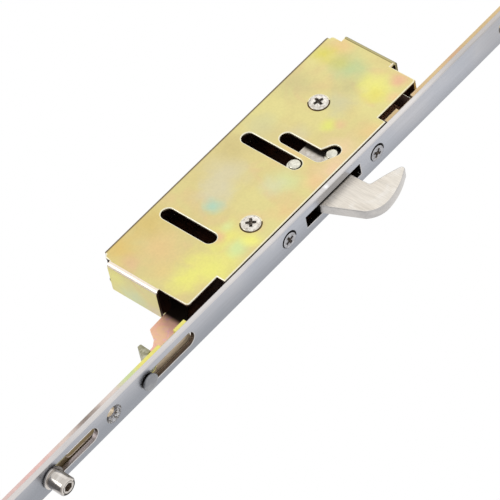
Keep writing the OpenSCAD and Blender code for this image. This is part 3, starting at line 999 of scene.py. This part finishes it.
class Bench:
    """The mesh operations that the assemblies share."""

    def __init__(
        self, nodes: dict[str, bpy.types.Object], slots: dict[str, str], finishes: FinishRack
    ) -> None:
        """Keeps the frame's nodes, their slots and the finishes.

        Args:
            nodes: The frame's objects by node name.
            slots: The record's material slot of each node. It is kept but not used.
            finishes: The finishes.
        """
        self.nodes = nodes
        self.slots = slots
        self.finishes = finishes

    def copy_of(self, node: str) -> bmesh.types.BMesh:
        """Copies a node's mesh, merges its loose triangles and clears their flat diagonals.

        Args:
            node: The node's name.

        Returns:
            The merged mesh.
        """
        made = bmesh.new()
        made.from_mesh(self.nodes[node].data)
        bmesh.ops.remove_doubles(made, verts=made.verts, dist=WELD)
        bmesh.ops.dissolve_limit(
            made,
            angle_limit=math.radians(FLAT_ANGLE),
            use_dissolve_boundaries=False,
            verts=made.verts,
            edges=made.edges,
            delimit={"NORMAL"},
        )
        return made

    @staticmethod
    def break_edges(
        made: bmesh.types.BMesh,
        width: float,
        segments: int = 2,
        angle: float = 32.0,
        outside: float | None = None,
        clamp: bool = False,
    ) -> None:
        """Bevels the sharp edges, and gives the bevels the second finish.

        Args:
            made: The mesh.
            width: The bevel's width, in millimetres.
            segments: The number of steps across the bevel.
            angle: The least angle, in degrees, of an edge that counts as sharp.
            outside: Where given, only edges that lie wholly below this Y, in millimetres, are bevelled.
            clamp: Whether short edges may narrow the bevel.
        """
        least = math.radians(angle)
        sharp = [e for e in made.edges if len(e.link_faces) == 2 and e.calc_face_angle(0.0) > least]
        if outside is not None:
            sharp = [e for e in sharp if all(v.co.y < outside * MM for v in e.verts)]
        cut = bmesh.ops.bevel(
            made,
            geom=sharp,
            offset=width * MM,
            offset_type="OFFSET",
            segments=segments,
            profile=0.5,
            affect="EDGES",
            clamp_overlap=clamp,
            material=-1,
        )
        for face in cut["faces"]:
            face.material_index = Look.EDGE

    @staticmethod
    def lathe(profile: Sequence[tuple[float, float]], steps: int = 56) -> bmesh.types.BMesh:
        """Turns a profile round the Z axis.

        Args:
            profile: Radius and height of each corner, in millimetres, from the bottom to the top.
            steps: The number of steps round the axis.

        Returns:
            The turned mesh, closed where the profile meets the axis.
        """
        made = bmesh.new()
        corners = [made.verts.new((r * MM, 0.0, h * MM)) for r, h in profile]
        lines = [made.edges.new(pair) for pair in zip(corners, corners[1:])]
        bmesh.ops.spin(
            made,
            geom=corners + lines,
            cent=(0.0, 0.0, 0.0),
            axis=(0.0, 0.0, 1.0),
            angle=math.tau,
            steps=steps,
            use_merge=True,
        )
        bmesh.ops.remove_doubles(made, verts=made.verts, dist=WELD)
        bmesh.ops.recalc_face_normals(made, faces=made.faces)
        return made

    @staticmethod
    def place(made: bmesh.types.BMesh, along: Along, at: Point) -> None:
        """Turns a piece made round Z to its direction and moves it to its place.

        Args:
            made: The mesh.
            along: The direction of its axis.
            at: The place of its origin, in millimetres.
        """
        matrix = Matrix.Translation(Vector(at) * MM) @ along.matrix()
        bmesh.ops.transform(made, matrix=matrix, verts=made.verts)

    @staticmethod
    def join(parts: Iterable[bmesh.types.BMesh]) -> bmesh.types.BMesh:
        """Joins several meshes into one.

        Args:
            parts: The meshes, which are freed.

        Returns:
            The joined mesh.
        """
        whole = bmesh.new()
        for part in parts:
            mesh = bpy.data.meshes.new("joined")
            part.to_mesh(mesh)
            whole.from_mesh(mesh)
            bpy.data.meshes.remove(mesh)
            part.free()
        return whole

    @staticmethod
    def _blank(name: str, made: bmesh.types.BMesh) -> bpy.types.Object:
        """Makes a passing object of a mesh, with room for three finishes.

        Args:
            name: The object's name.
            made: The mesh, which is freed.

        Returns:
            The object.
        """
        mesh = bpy.data.meshes.new(name)
        for _ in range(3):
            mesh.materials.append(None)
        made.to_mesh(mesh)
        made.free()
        return add_object(name, mesh)

    @staticmethod
    def carve(made: bmesh.types.BMesh, cutters: Sequence[bmesh.types.BMesh]) -> bmesh.types.BMesh:
        """Cuts shapes out of a mesh, and gives the cut faces the inner finish.

        Args:
            made: The mesh to cut.
            cutters: The shapes to take away, one after the other.

        Returns:
            The cut mesh. The given ones are freed.
        """
        for cutter in cutters:
            for face in cutter.faces:
                face.material_index = Look.INNER
            blank = Bench._blank("blank", made)
            tool = Bench._blank("cutter", cutter)
            cut = blank.modifiers.new("cut", "BOOLEAN")
            cut.operation = "DIFFERENCE"
            cut.solver = "EXACT"
            cut.object = tool
            graph = bpy.context.evaluated_depsgraph_get()
            done = bpy.data.meshes.new_from_object(blank.evaluated_get(graph))
            made = bmesh.new()
            made.from_mesh(done)
            for item in (blank, tool):
                mesh = item.data
                bpy.data.objects.remove(item)
                bpy.data.meshes.remove(mesh)
            bpy.data.meshes.remove(done)
        return made

    def finish_piece(
        self,
        name: str,
        made: bmesh.types.BMesh,
        body: str,
        looks: Sequence[MetalFinish],
        stands_for: Sequence[str] = (),
    ) -> bpy.types.Object:
        """Turns a mesh into a finished piece that rides on its body.

        Args:
            name: The piece's name.
            made: Its mesh, which is freed.
            body: The body that it moves with.
            looks: Its finishes, in the order of its faces' indices.
            stands_for: The nodes that it replaces.

        Returns:
            The piece.
        """
        mesh = bpy.data.meshes.new(name)
        made.to_mesh(mesh)
        faces = len(made.faces)
        made.free()
        for look in looks:
            mesh.materials.append(self.finishes.material(look))
        mesh.shade_smooth()
        piece = add_object(name, mesh)
        normals = piece.modifiers.new("weighted", "WEIGHTED_NORMAL")
        normals.mode = "FACE_AREA"
        normals.weight = 80
        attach(piece, body)
        if stands_for:
            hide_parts(*stands_for)
        LOG.info("%s: %d faces on %s", name, faces, body)
        return piece

    def dress(
        self,
        node: str,
        body: str,
        looks: Sequence[MetalFinish],
        width: float,
        mark: Callable[[bmesh.types.BMesh], None] | None = None,
        mark_edges: Callable[[bmesh.types.BMesh], None] | None = None,
    ) -> bpy.types.Object:
        """Replaces a node by a copy with broken edges.

        Args:
            node: The node's name.
            body: The body that it moves with.
            looks: The faces' finish, the edges' finish and any more.
            width: The width of the broken edges, in millimetres.
            mark: Sets the finish of particular faces before the edges are broken.
            mark_edges: Sets the finish of particular faces afterwards.

        Returns:
            The piece.
        """
        made = self.copy_of(node)
        if mark is not None:
            mark(made)
        self.break_edges(made, width)
        if mark_edges is not None:
            mark_edges(made)
        return self.finish_piece(f"{node}_shell", made, body, looks, (node,))


# Assemblies


@dataclass
class CrossScrew:
    """The visible head of a screw with a cross recess. Sizes are in millimetres."""

    profile: tuple[tuple[float, float], ...]
    top: float
    span: float = 6.6
    width: float = 1.7
    depth: float = 1.2
    taper: Point = (0.45, 0.6, 1.0)
    core: float = 1.75
    core_tip: float = 0.35
    core_reach: float = 1.8
    rim: float = 0.12
    skirt: float = -20.0

    def row(self, places: Iterable[tuple[Point, float]], along: Along) -> bmesh.types.BMesh:
        """Makes a head at each place and joins them.

        Args:
            places: Each head's place and the turn of its recess, in degrees.
            along: The direction of the heads' axes.

        Returns:
            The heads' mesh.
        """
        heads = []
        for at, turn in places:
            head = self._head(turn)
            Bench.place(head, along, at)
            heads.append(head)
        return Bench.join(heads)

    def _head(self, turn: float) -> bmesh.types.BMesh:
        """Turns the head and cuts its recess.

        Args:
            turn: The turn of the recess, in degrees.

        Returns:
            The head's mesh, standing on Z.
        """
        head = Bench.lathe(self.profile)
        Bench.break_edges(head, self.rim, segments=3, angle=40.0)
        # The faces below the skirt and the walls of the cut recess take the third finish, which is painted
        # shade
        for face in head.faces:
            low = face.calc_center_median().z < self.skirt * MM
            face.material_index = Look.INNER if low else Look.FACE
        core = bmesh.new()
        bmesh.ops.create_cone(
            core,
            cap_ends=True,
            segments=24,
            radius1=self.core_tip * MM,
            radius2=self.core * MM,
            depth=self.core_reach * self.depth * MM,
        )
        bmesh.ops.translate(core, vec=(0, 0, self.top * MM), verts=core.verts)
        return Bench.carve(head, [self._arm(turn), self._arm(turn + 90.0), core])

    def _arm(self, turn: float) -> bmesh.types.BMesh:
        """Makes the tapered blade that cuts two arms of the recess.

        Args:
            turn: Its turn round Z, in degrees.

        Returns:
            The blade's mesh.
        """
        made = bmesh.new()
        bmesh.ops.create_cube(made, size=1.0)
        size = Vector((self.span, self.width, 2 * self.depth)) * MM
        bmesh.ops.scale(made, vec=size, verts=made.verts)
        low = [v for v in made.verts if v.co.z < 0]
        bmesh.ops.scale(made, vec=self.taper, verts=low)
        matrix = Matrix.Rotation(math.radians(turn), 3, "Z")
        bmesh.ops.rotate(made, cent=(0, 0, 0), matrix=matrix, verts=made.verts)
        bmesh.ops.translate(made, vec=(0, 0, self.top * MM), verts=made.verts)
        return made


@dataclass
class Faceplate:
    """The long faceplate and the two screws that hold the case to it. Sizes are in millimetres."""

    bench: Bench
    edge: float = 0.28
    screws: tuple[tuple[float, float], ...] = ((-18.0, 20.0), (42.0, 52.0))
    screw_lean: float = 0.45
    door_hole: float = -133.0
    front: float = 2.5
    flat_half: float = 7.2
    sink_reach: float = 5.2
    lit_side: float = 1.0
    hole_reach: float = 7.0
    rim_reach: float = 6.0
    rim_half: float = 6.5

    def build(self) -> None:
        """Builds the faceplate and its screws."""
        looks = (SATIN_ZINC, ZINC_EDGE_HIGHLIGHT, SLOT_WALL_SHADE, SUNK_GLINT)
        self.bench.dress("faceplate", "lock_body", looks, self.edge, self._mark_faces, self._mark_rims)
        screw = CrossScrew(
            profile=(
                (0.0, -11.0), (2.4, -11.0), (2.5, -10.6), (2.5, -2.35),
                (3.8, -0.8), (3.85, -0.1), (0.0, -0.1),
            ),
            top=-0.1,
            skirt=-0.3,
        )
        heads = screw.row([((self.front, self.screw_lean, z), turn) for z, turn in self.screws], Along.X)
        looks = (SCREW_SATIN, SCREW_SATIN, RECESS_SHADE)
        self.bench.finish_piece("case_screws", heads, "lock_body", looks, ("case_fixing_screws",))

    def _off_screw(self, z: float) -> float:
        """Returns how far a height is from the nearer screw."""
        return min(abs(z - height) for height, _ in self.screws)

    def _mark_faces(self, made: bmesh.types.BMesh) -> None:
        """Gives the rolled sides a painted highlight, the walls of the slots painted shade and the sunk
        hole painted glints.

        Args:
            made: The faceplate's mesh.
        """
        for face in made.faces:
            _, y, z = face.calc_center_median() / MM
            if abs(y) > self.flat_half:
                if abs(face.normal.y) > PARTLY:
                    face.material_index = Look.EDGE
            elif abs(face.normal.x) < SQUARELY:
                if abs(z - self.door_hole) < self.hole_reach and face.normal.x > SLIGHTLY:
                    face.material_index = Look.FORMED
                elif y <= self.lit_side or self._off_screw(z) >= self.sink_reach:
                    face.material_index = Look.INNER

    def _mark_rims(self, made: bmesh.types.BMesh) -> None:
        """Gives the rims of the round holes the plate's own finish.

        Args:
            made: The faceplate's mesh with its edges broken.
        """
        for face in made.faces:
            _, y, z = face.calc_center_median() / MM
            near = min(self._off_screw(z), abs(z - self.door_hole)) < self.rim_reach
            if face.material_index == Look.EDGE and abs(y) < self.rim_half and near:
                face.material_index = Look.FACE


@dataclass
class Case:
    """The folded cover, the base plate and what holds them together. Sizes are in millimetres."""

    bench: Bench
    edge: float = 0.2
    rolled: float = 0.5
    screws: tuple[tuple[float, float, float], ...] = ((-32.5, 45.0, 73.0), (-11.8, -25.5, 40.0))
    head_height: float = 0.95
    base_end: tuple[float, float] = (77.6, 79.4)
    base_corner: float = -19.55
    base_lap: float = 0.6
    shade_side: Point = (0.65, 0.0, -0.76)
    shade_from: float = -0.15
    inner_face: float = -7.0
    rear_wall: float = -54.0
    end_walls: float = 76.0
    lower_lip: float = -76.5
    sheet_back: float = -7.2
    slots_across: tuple[float, float] = (-50.0, -4.9)
    slots_half: float = 50.0
    bend_end: float = -75.6
    bend_front: float = -6.0
    hidden: tuple[float, float] = (-7.85, 7.8)
    hidden_half: float = 78.6
    hidden_rear: float = -54.5

    def build(self) -> None:
        """Builds the case."""
        looks = (COVER_PLATING, COVER_EDGE_HIGHLIGHT, CASE_INSIDE_SHADE, COVER_BEND_HIGHLIGHT, SLOT_SHADE)
        cover = self.bench.copy_of("case_cover")
        self._mark_cover(cover)
        Bench.break_edges(cover, self.rolled, segments=4, outside=COVER_FACE + 0.1)
        Bench.break_edges(cover, self.edge, clamp=True)
        self._mark_hidden_edges(cover)
        self.bench.finish_piece("case_cover_shell", cover, "lock_body", looks, ("case_cover",))
        marks = (self._mark_base, self._mark_hidden_edges)
        self.bench.dress("case_base", "lock_body", looks, self.edge, *marks)
        self._screw_seats()
        self._screws()
        for node, look, width in (
            ("cover_pillars", DARK_PHOSPHATE, 0.15),
            ("fixing_blocks", DARK_PHOSPHATE, 0.2),
            ("block_rivets", STUD_STEEL, 0.12),
            ("slider_posts", STUD_STEEL, 0.12),
        ):
            self.bench.dress(node, "lock_body", (look, look), width)

    def _screws(self) -> None:
        """Turns the heads of the cover screws."""
        screw = CrossScrew(
            profile=(
                (0.0, -8.0), (2.3, -8.0), (2.5, -7.7), (2.5, 0.0), (4.5, 0.0), (4.6, 0.12),
                (4.6, 0.36), (4.4, 0.6), (3.9, 0.79), (3.1, 0.9), (2.0, 0.95), (0.0, self.head_height),
            ),
            top=self.head_height,
            depth=1.3,
            core=1.5,
            rim=0.08,
        )
        heads = screw.row([((x, COVER_FACE, z), turn) for x, z, turn in self.screws], Along.MINUS_Y)
        looks = (SCREW_ZINC, SCREW_ZINC, RECESS_SHADE)
        self.bench.finish_piece("cover_screw_heads", heads, "lock_body", looks, ("cover_screws",))

    def _screw_seats(self) -> None:
        """Raises the pressed lip of the cover round each screw head."""
        lips = []
        profile = ((4.6, -0.1), (4.62, 0.2), (4.75, 0.26), (5.0, 0.2), (5.25, -0.1), (4.6, -0.1))
        for x, z, _ in self.screws:
            lip = Bench.lathe(profile, steps=72)
            centre = Vector((x, COVER_FACE, z))
            Bench.place(lip, Along.MINUS_Y, centre)
            # Each lip is painted: shade on the side turned away from the light, a highlight on the rest
            for face in lip.faces:
                away = (face.calc_center_median() - centre * MM).normalized()
                shaded = away.dot(Vector(self.shade_side)) > self.shade_from
                face.material_index = Look.EDGE if shaded else Look.FACE
            lips.append(lip)
        self.bench.finish_piece("screw_seats", Bench.join(lips), "lock_body", (COVER_EDGE_HIGHLIGHT, SLOT_SHADE))

    def _mark_cover(self, made: bmesh.types.BMesh) -> None:
        """Gives the cover's inner faces and slot walls painted shade, and its sheared edges and lower bend
        painted highlights.

        Args:
            made: The cover's mesh.
        """
        left, right = self.slots_across
        for face in made.faces:
            x, y, z = face.calc_center_median() / MM
            normal = face.normal
            front = normal.y > MOSTLY and y < self.inner_face
            rear = normal.x > MOSTLY and x < self.rear_wall
            ends = abs(normal.z) > MOSTLY and abs(z) > self.end_walls and normal.z * z < 0
            at_bend = z < self.bend_end and y < self.bend_front
            if front or rear or ends:
                face.material_index = Look.INNER
            elif normal.x > MOSTLY and z < self.lower_lip:
                face.material_index = Look.EDGE
            elif abs(normal.y) < PARTLY and y < self.sheet_back:
                in_slot = left < x < right and abs(z) < self.slots_half
                face.material_index = Look.SHADE if in_slot else Look.EDGE
            elif at_bend and -SQUARELY < normal.z < -SLIGHTLY and normal.y < -BARELY:
                face.material_index = Look.FORMED

    def _mark_hidden_edges(self, made: bmesh.types.BMesh) -> None:
        """Paints shade on the broken edges that lie inside the case.

        Args:
            made: The mesh of the cover or of the base plate.
        """
        low, high = self.hidden
        for face in made.faces:
            x, y, z = face.calc_center_median() / MM
            inside = low < y < high and abs(z) < self.hidden_half and x > self.hidden_rear
            if face.material_index == Look.EDGE and inside:
                face.material_index = Look.INNER

    def _mark_base(self, made: bmesh.types.BMesh) -> None:
        """Laps the base plate's upper corner past the cover's flap and paints shade on its inner face.

        Args:
            made: The base plate's mesh.
        """
        low, high = self.base_end
        for vert in made.verts:
            if low < vert.co.z / MM < high and vert.co.x / MM > self.base_corner:
                vert.co.z += self.base_lap * MM
        for face in made.faces:
            if face.normal.y < -MOSTLY:
                face.material_index = Look.INNER


@dataclass
class DriveRail:
    """The two drive bars, the slider between them and what they carry. Sizes are in millimetres."""

    bench: Bench
    edge: float = 0.15
    cleat_edge: float = 0.3
    cut_half: float = 5.0
    stud_heights: tuple[float, float] = (-111.3, 146.0)
    stud_back: float = -2.2
    stud_rim: float = 0.08
    stud_sunk: tuple[float, float] = (1.9, 3.4)

    def build(self) -> None:
        """Builds the rail."""
        lower = (LOWER_BAR_PLATING, LOWER_BAR_PLATING, BAR_FACE_SHADE)
        upper = (UPPER_BAR_PLATING, BAR_EDGE, BAR_FACE_SHADE)
        self.bench.dress("drive_bar_lower", "drive_rail", lower, self.edge, self._mark_front)
        self.bench.dress("drive_bar_upper", "drive_rail", upper, self.edge, self._mark_front)
        self.bench.dress("slider_plate", "drive_rail", (SLIDER_PLATING, SLIDER_PLATING), self.edge)
        self.bench.dress("guide_cleat", "drive_rail", (CAST_ZINC, CAST_ZINC), self.cleat_edge)
        for node, height in zip(("guide_stud_lower", "guide_stud_upper"), self.stud_heights):
            self._stud(node, height)

    def _mark_front(self, made: bmesh.types.BMesh) -> None:
        """Gives the bar's face behind the faceplate, and what is cut through it, the finish with painted
        shade.

        Args:
            made: The bar's mesh.
        """
        for face in made.faces:
            in_middle = abs(face.calc_center_median().y) < self.cut_half * MM
            if face.normal.x > NEARLY or (abs(face.normal.x) < HALFWAY and in_middle):
                face.material_index = Look.INNER

    def _stud(self, node: str, height: float) -> None:
        """Turns one guide stud.

        Args:
            node: The node that it replaces.
            height: Its height on the rail.
        """
        stud = Bench.lathe(
            (
                (0.0, -0.8), (3.0, -0.8), (3.6, -0.35), (3.6, 0.0), (2.5, 0.0), (2.5, 2.0), (3.7, 2.0),
                (3.7, 4.2), (2.5, 4.2), (2.5, 5.5), (3.95, 5.5), (4.2, 5.7), (4.2, 6.3), (3.95, 6.7),
                (3.3, 6.95), (2.2, 7.0), (0.0, 7.0),
            )
        )
        Bench.break_edges(stud, self.stud_rim, angle=40.0)
        Bench.place(stud, Along.X, (self.stud_back, 0.0, height))
        # The sunk shoulder takes the second finish, painted shade
        back, front = self.stud_sunk
        for face in stud.faces:
            sunk = back < face.calc_center_median().x / MM < front
            face.material_index = Look.EDGE if sunk else Look.FACE
        self.bench.finish_piece(f"{node}_turned", stud, "drive_rail", (STUD_STEEL, SUNK_SHADE), (node,))


@dataclass
class HookWork:
    """The hook, the pin that carries it and the pin that guides it. Sizes are in millimetres."""

    bench: Bench
    edge: float = 0.35
    pivot: tuple[float, float] = (-18.4, 11.6)
    guide: tuple[float, float] = (-9.3, 26.1)
    pin_rim: float = 0.08
    pin_side: float = 0.6
    collar_edge: float = 0.1
    boss: tuple[tuple[float, float], ...] = (
        (-23.5, 17.5), (-23.5, 26.8), (-21.0, 29.4), (-7.6, 29.4), (-4.8, 27.0), (-6.5, 17.5),
    )
    boss_back: float = -2.4
    boss_height: float = 3.0
    boss_edge: float = 0.3

    def build(self) -> None:
        """Builds the hook and its pins."""
        self.bench.dress("hook_bolt", "hook", (BRUSHED_NICKEL, NICKEL_EDGE), self.edge, self._mark_rim)
        profile = ((0.0, -8.5), (2.35, -8.5), (2.75, -8.15), (2.75, 8.15), (2.35, 8.5), (0.0, 8.5))
        self._pin("pivot_pin", "hook_carriage", profile, self.pivot, SHADED_NICKEL)
        profile = (
            (0.0, -7.2), (2.4, -7.2), (2.75, -6.85), (2.75, -5.6), (3.6, -5.6), (3.75, -5.45),
            (3.75, -2.5), (2.75, -2.5), (2.75, 4.6), (2.5, 4.9), (0.0, 4.9),
        )
        self._pin("guide_pin", "hook", profile, self.guide, BRIGHT_NICKEL)
        looks = (SHADED_NICKEL, SHADED_NICKEL)
        self.bench.dress("pivot_collars", "hook_carriage", looks, self.collar_edge)
        self._boss()

    def _pin(
        self,
        node: str,
        body: str,
        profile: Sequence[tuple[float, float]],
        at: tuple[float, float],
        side: MetalFinish,
    ) -> None:
        """Turns one pin.

        Args:
            node: The node that it replaces.
            body: The body that it moves with.
            profile: Radius and height of each of its corners.
            at: Its place across and up the case.
            side: The finish of its side.
        """
        pin = Bench.lathe(profile)
        Bench.break_edges(pin, self.pin_rim, angle=25.0)
        Bench.place(pin, Along.Y, (at[0], 0.0, at[1]))
        for face in pin.faces:
            face.material_index = Look.EDGE if abs(face.normal.y) < self.pin_side else Look.FACE
        self.bench.finish_piece(f"{node}_turned", pin, body, (BRIGHT_NICKEL, side), (node,))

    def _boss(self) -> None:
        """Raises the boss that stiffens the hook behind the bent slot."""
        made = bmesh.new()
        corners = [made.verts.new((x * MM, self.boss_back * MM, z * MM)) for x, z in self.boss]
        base = made.faces.new(corners)
        grown = bmesh.ops.extrude_face_region(made, geom=[base])
        top = [v for v in grown["geom"] if isinstance(v, bmesh.types.BMVert)]
        bmesh.ops.translate(made, vec=(0, -self.boss_height * MM, 0), verts=top)
        bmesh.ops.recalc_face_normals(made, faces=made.faces)
        Bench.break_edges(made, self.boss_edge)
        self.bench.finish_piece("hook_boss", made, "hook", (BOSS_NICKEL, NICKEL_EDGE))

    @staticmethod
    def _mark_rim(made: bmesh.types.BMesh) -> None:
        """Gives the sawn rim of the hook the smoother finish.

        Args:
            made: The hook's mesh.
        """
        for face in made.faces:
            if abs(face.normal.y) < HALFWAY:
                face.material_index = Look.EDGE


@dataclass
class RollerSet:
    """The roller, the eccentric stem that it runs on and its clip. Sizes are in millimetres."""

    bench: Bench
    edge: float = 0.1
    sleeve_back: float = 2.9
    flange_front: float = 4.05
    rim_back: float = 11.0
    socket_back: float = 7.5
    socket_reach: float = 2.4

    def build(self) -> None:
        """Builds the roller set."""
        sleeve = Bench.lathe(
            (
                (2.9, 0.0), (5.3, 0.0), (5.5, 0.2), (5.5, 0.9), (5.3, 1.1), (4.5, 1.1), (4.5, 8.6),
                (3.9, 9.2), (3.2, 9.2), (2.9, 8.9), (2.9, 0.0),
            ),
            steps=64,
        )
        Bench.break_edges(sleeve, self.edge, angle=30.0)
        Bench.place(sleeve, Along.X, (self.sleeve_back, 0.0, ROLLER_HEIGHT))
        self._mark_sleeve(sleeve)
        looks = (ROLLER_STEEL, RIM_STEEL, FLANGE_STEEL)
        self.bench.finish_piece("roller_turned", sleeve, "roller", looks, ("roller_sleeve",))
        looks = (TURNED_STAINLESS, TURNED_STAINLESS, SOCKET_SHADE)
        self.bench.dress("roller_stem", "roller_eccentric", looks, self.edge, self._mark_socket)
        looks = (DARK_PHOSPHATE, DARK_PHOSPHATE)
        self.bench.dress("roller_clip", "roller_eccentric", looks, self.edge)

    def _mark_sleeve(self, made: bmesh.types.BMesh) -> None:
        """Gives the roller's flange and end ring their own finishes.

        Args:
            made: The roller's mesh.
        """
        for face in made.faces:
            x = face.calc_center_median().x / MM
            if x < self.flange_front:
                face.material_index = Look.INNER
            else:
                at_end = face.normal.x > SQUARELY and x > self.rim_back
                face.material_index = Look.EDGE if at_end else Look.FACE

    def _mark_socket(self, made: bmesh.types.BMesh) -> None:
        """Paints shade on the walls of the hexagon socket.

        Args:
            made: The stem's mesh.
        """
        for face in made.faces:
            x, y, z = face.calc_center_median() / MM
            near = math.hypot(y, z - ROLLER_HEIGHT) < self.socket_reach
            if x > self.socket_back and near and face.normal.x < NEARLY:
                face.material_index = Look.INNER


@dataclass
class Studio:
    """The floor, the surroundings, the lamps and the camera. Sizes are in metres."""

    floor_height: float = -1.3
    floor_half: float = 0.9
    floor_colour: Colour = (0.6, 0.6, 0.6)
    camera_place: Point = (0.84329, -1.2774, -0.74118)
    camera_turn: Point = (123.2776, -40.1734, 10.7414)
    lens: float = 281.598
    sensor: float = 36.0
    view_depth: tuple[float, float] = (0.01, 20.0)
    soft_light: float = 0.78
    lamps: tuple[tuple[str, Point, float, float], ...] = (
        ("key", (-0.9, -1.4, 1.3), 1.2, 1.2),
        ("under", (-0.62, -0.5, -0.92), 0.5, 1.6),
    )

    def build(self) -> None:
        """Builds the studio."""
        self._floor()
        self._world()
        for name, place, size, power in self.lamps:
            self._lamp(name, Vector(place), size, power)
        self._camera()

    def _floor(self) -> None:
        """Lays the pale floor, below the camera's view."""
        name = "studio_floor"
        made = bmesh.new()
        place = Matrix.Translation((0.0, 0.0, self.floor_height))
        bmesh.ops.create_grid(made, x_segments=1, y_segments=1, size=self.floor_half, matrix=place)
        mesh = bpy.data.meshes.new(name)
        made.to_mesh(mesh)
        made.free()
        material = bpy.data.materials.new(name)
        material.use_nodes = True
        graph = Graph(material.node_tree)
        shader = material.node_tree.nodes["Principled BSDF"]
        where = graph.node("ShaderNodeTexCoord").outputs["Object"]
        shade = graph.remap(graph.noise(where, scale=3.0, detail=2.0), 0.3, 0.7, 0.97, 1.0)
        graph.feed(shader.inputs["Base Color"], graph.scale(self.floor_colour, shade))
        shader.inputs["Roughness"].default_value = 0.8
        mesh.materials.append(material)
        add_object(name, mesh)

    def _world(self) -> None:
        """Surrounds the lock with soft light, white where the camera or a gloss sees it."""
        world = bpy.data.worlds.new("studio")
        world.use_nodes = True
        bpy.context.scene.world = world
        graph = Graph(world.node_tree)
        soft = world.node_tree.nodes["Background"]
        white = graph.node("ShaderNodeBackground")
        for background, strength in ((white, 1.0), (soft, self.soft_light)):
            graph.feed(background.inputs["Color"], (1.0, 1.0, 1.0))
            background.inputs["Strength"].default_value = strength
        rays = graph.node("ShaderNodeLightPath").outputs
        seen = graph.maths("MAXIMUM", rays["Is Camera Ray"], rays["Is Glossy Ray"])
        seen = graph.maths("MAXIMUM", seen, rays["Is Transmission Ray"])
        switch = graph.node("ShaderNodeMixShader")
        for index, value in enumerate((seen, soft.outputs[0], white.outputs[0])):
            graph.feed(switch.inputs[index], value)
        graph.feed(world.node_tree.nodes["World Output"].inputs["Surface"], switch.outputs[0])

    @staticmethod
    def _lamp(name: str, place: Vector, size: float, power: float) -> None:
        """Hangs a soft lamp that points at the case.

        Args:
            name: The lamp's name.
            place: Where it hangs.
            size: The side of its square face.
            power: Its power in watts.
        """
        light = bpy.data.lights.new(name, "AREA")
        light.size = size
        light.energy = power
        turn = (-place).to_track_quat("-Z", "Y").to_matrix().to_4x4()
        add_object(name, light).matrix_world = Matrix.Translation(place) @ turn

    def _camera(self) -> None:
        """Sets the camera at the photograph's angle."""
        data = bpy.data.cameras.new("camera")
        data.lens = self.lens
        data.sensor_width = self.sensor
        data.clip_start, data.clip_end = self.view_depth
        camera = add_object("camera", data)
        turn = Euler([math.radians(a) for a in self.camera_turn], "XYZ").to_matrix().to_4x4()
        camera.matrix_world = Matrix.Translation(self.camera_place) @ turn
        bpy.context.scene.camera = camera


def main() -> None:
    """Builds the lock and its studio."""
    logging.basicConfig(level=logging.INFO, format="%(name)s: %(message)s")
    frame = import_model()
    slots = {part["node"]: part["material_slot"] for part in frame["record"]["subparts"]}
    bench = Bench(frame["nodes"], slots, FinishRack())
    for assembly in (Faceplate(bench), Case(bench), DriveRail(bench), HookWork(bench), RollerSet(bench)):
        assembly.build()
        LOG.info("%s built", type(assembly).__name__)
    Studio().build()
    bpy.context.scene.view_settings.view_transform = "Standard"
    bpy.context.view_layer.update()


if __name__ == "__main__":
    main()
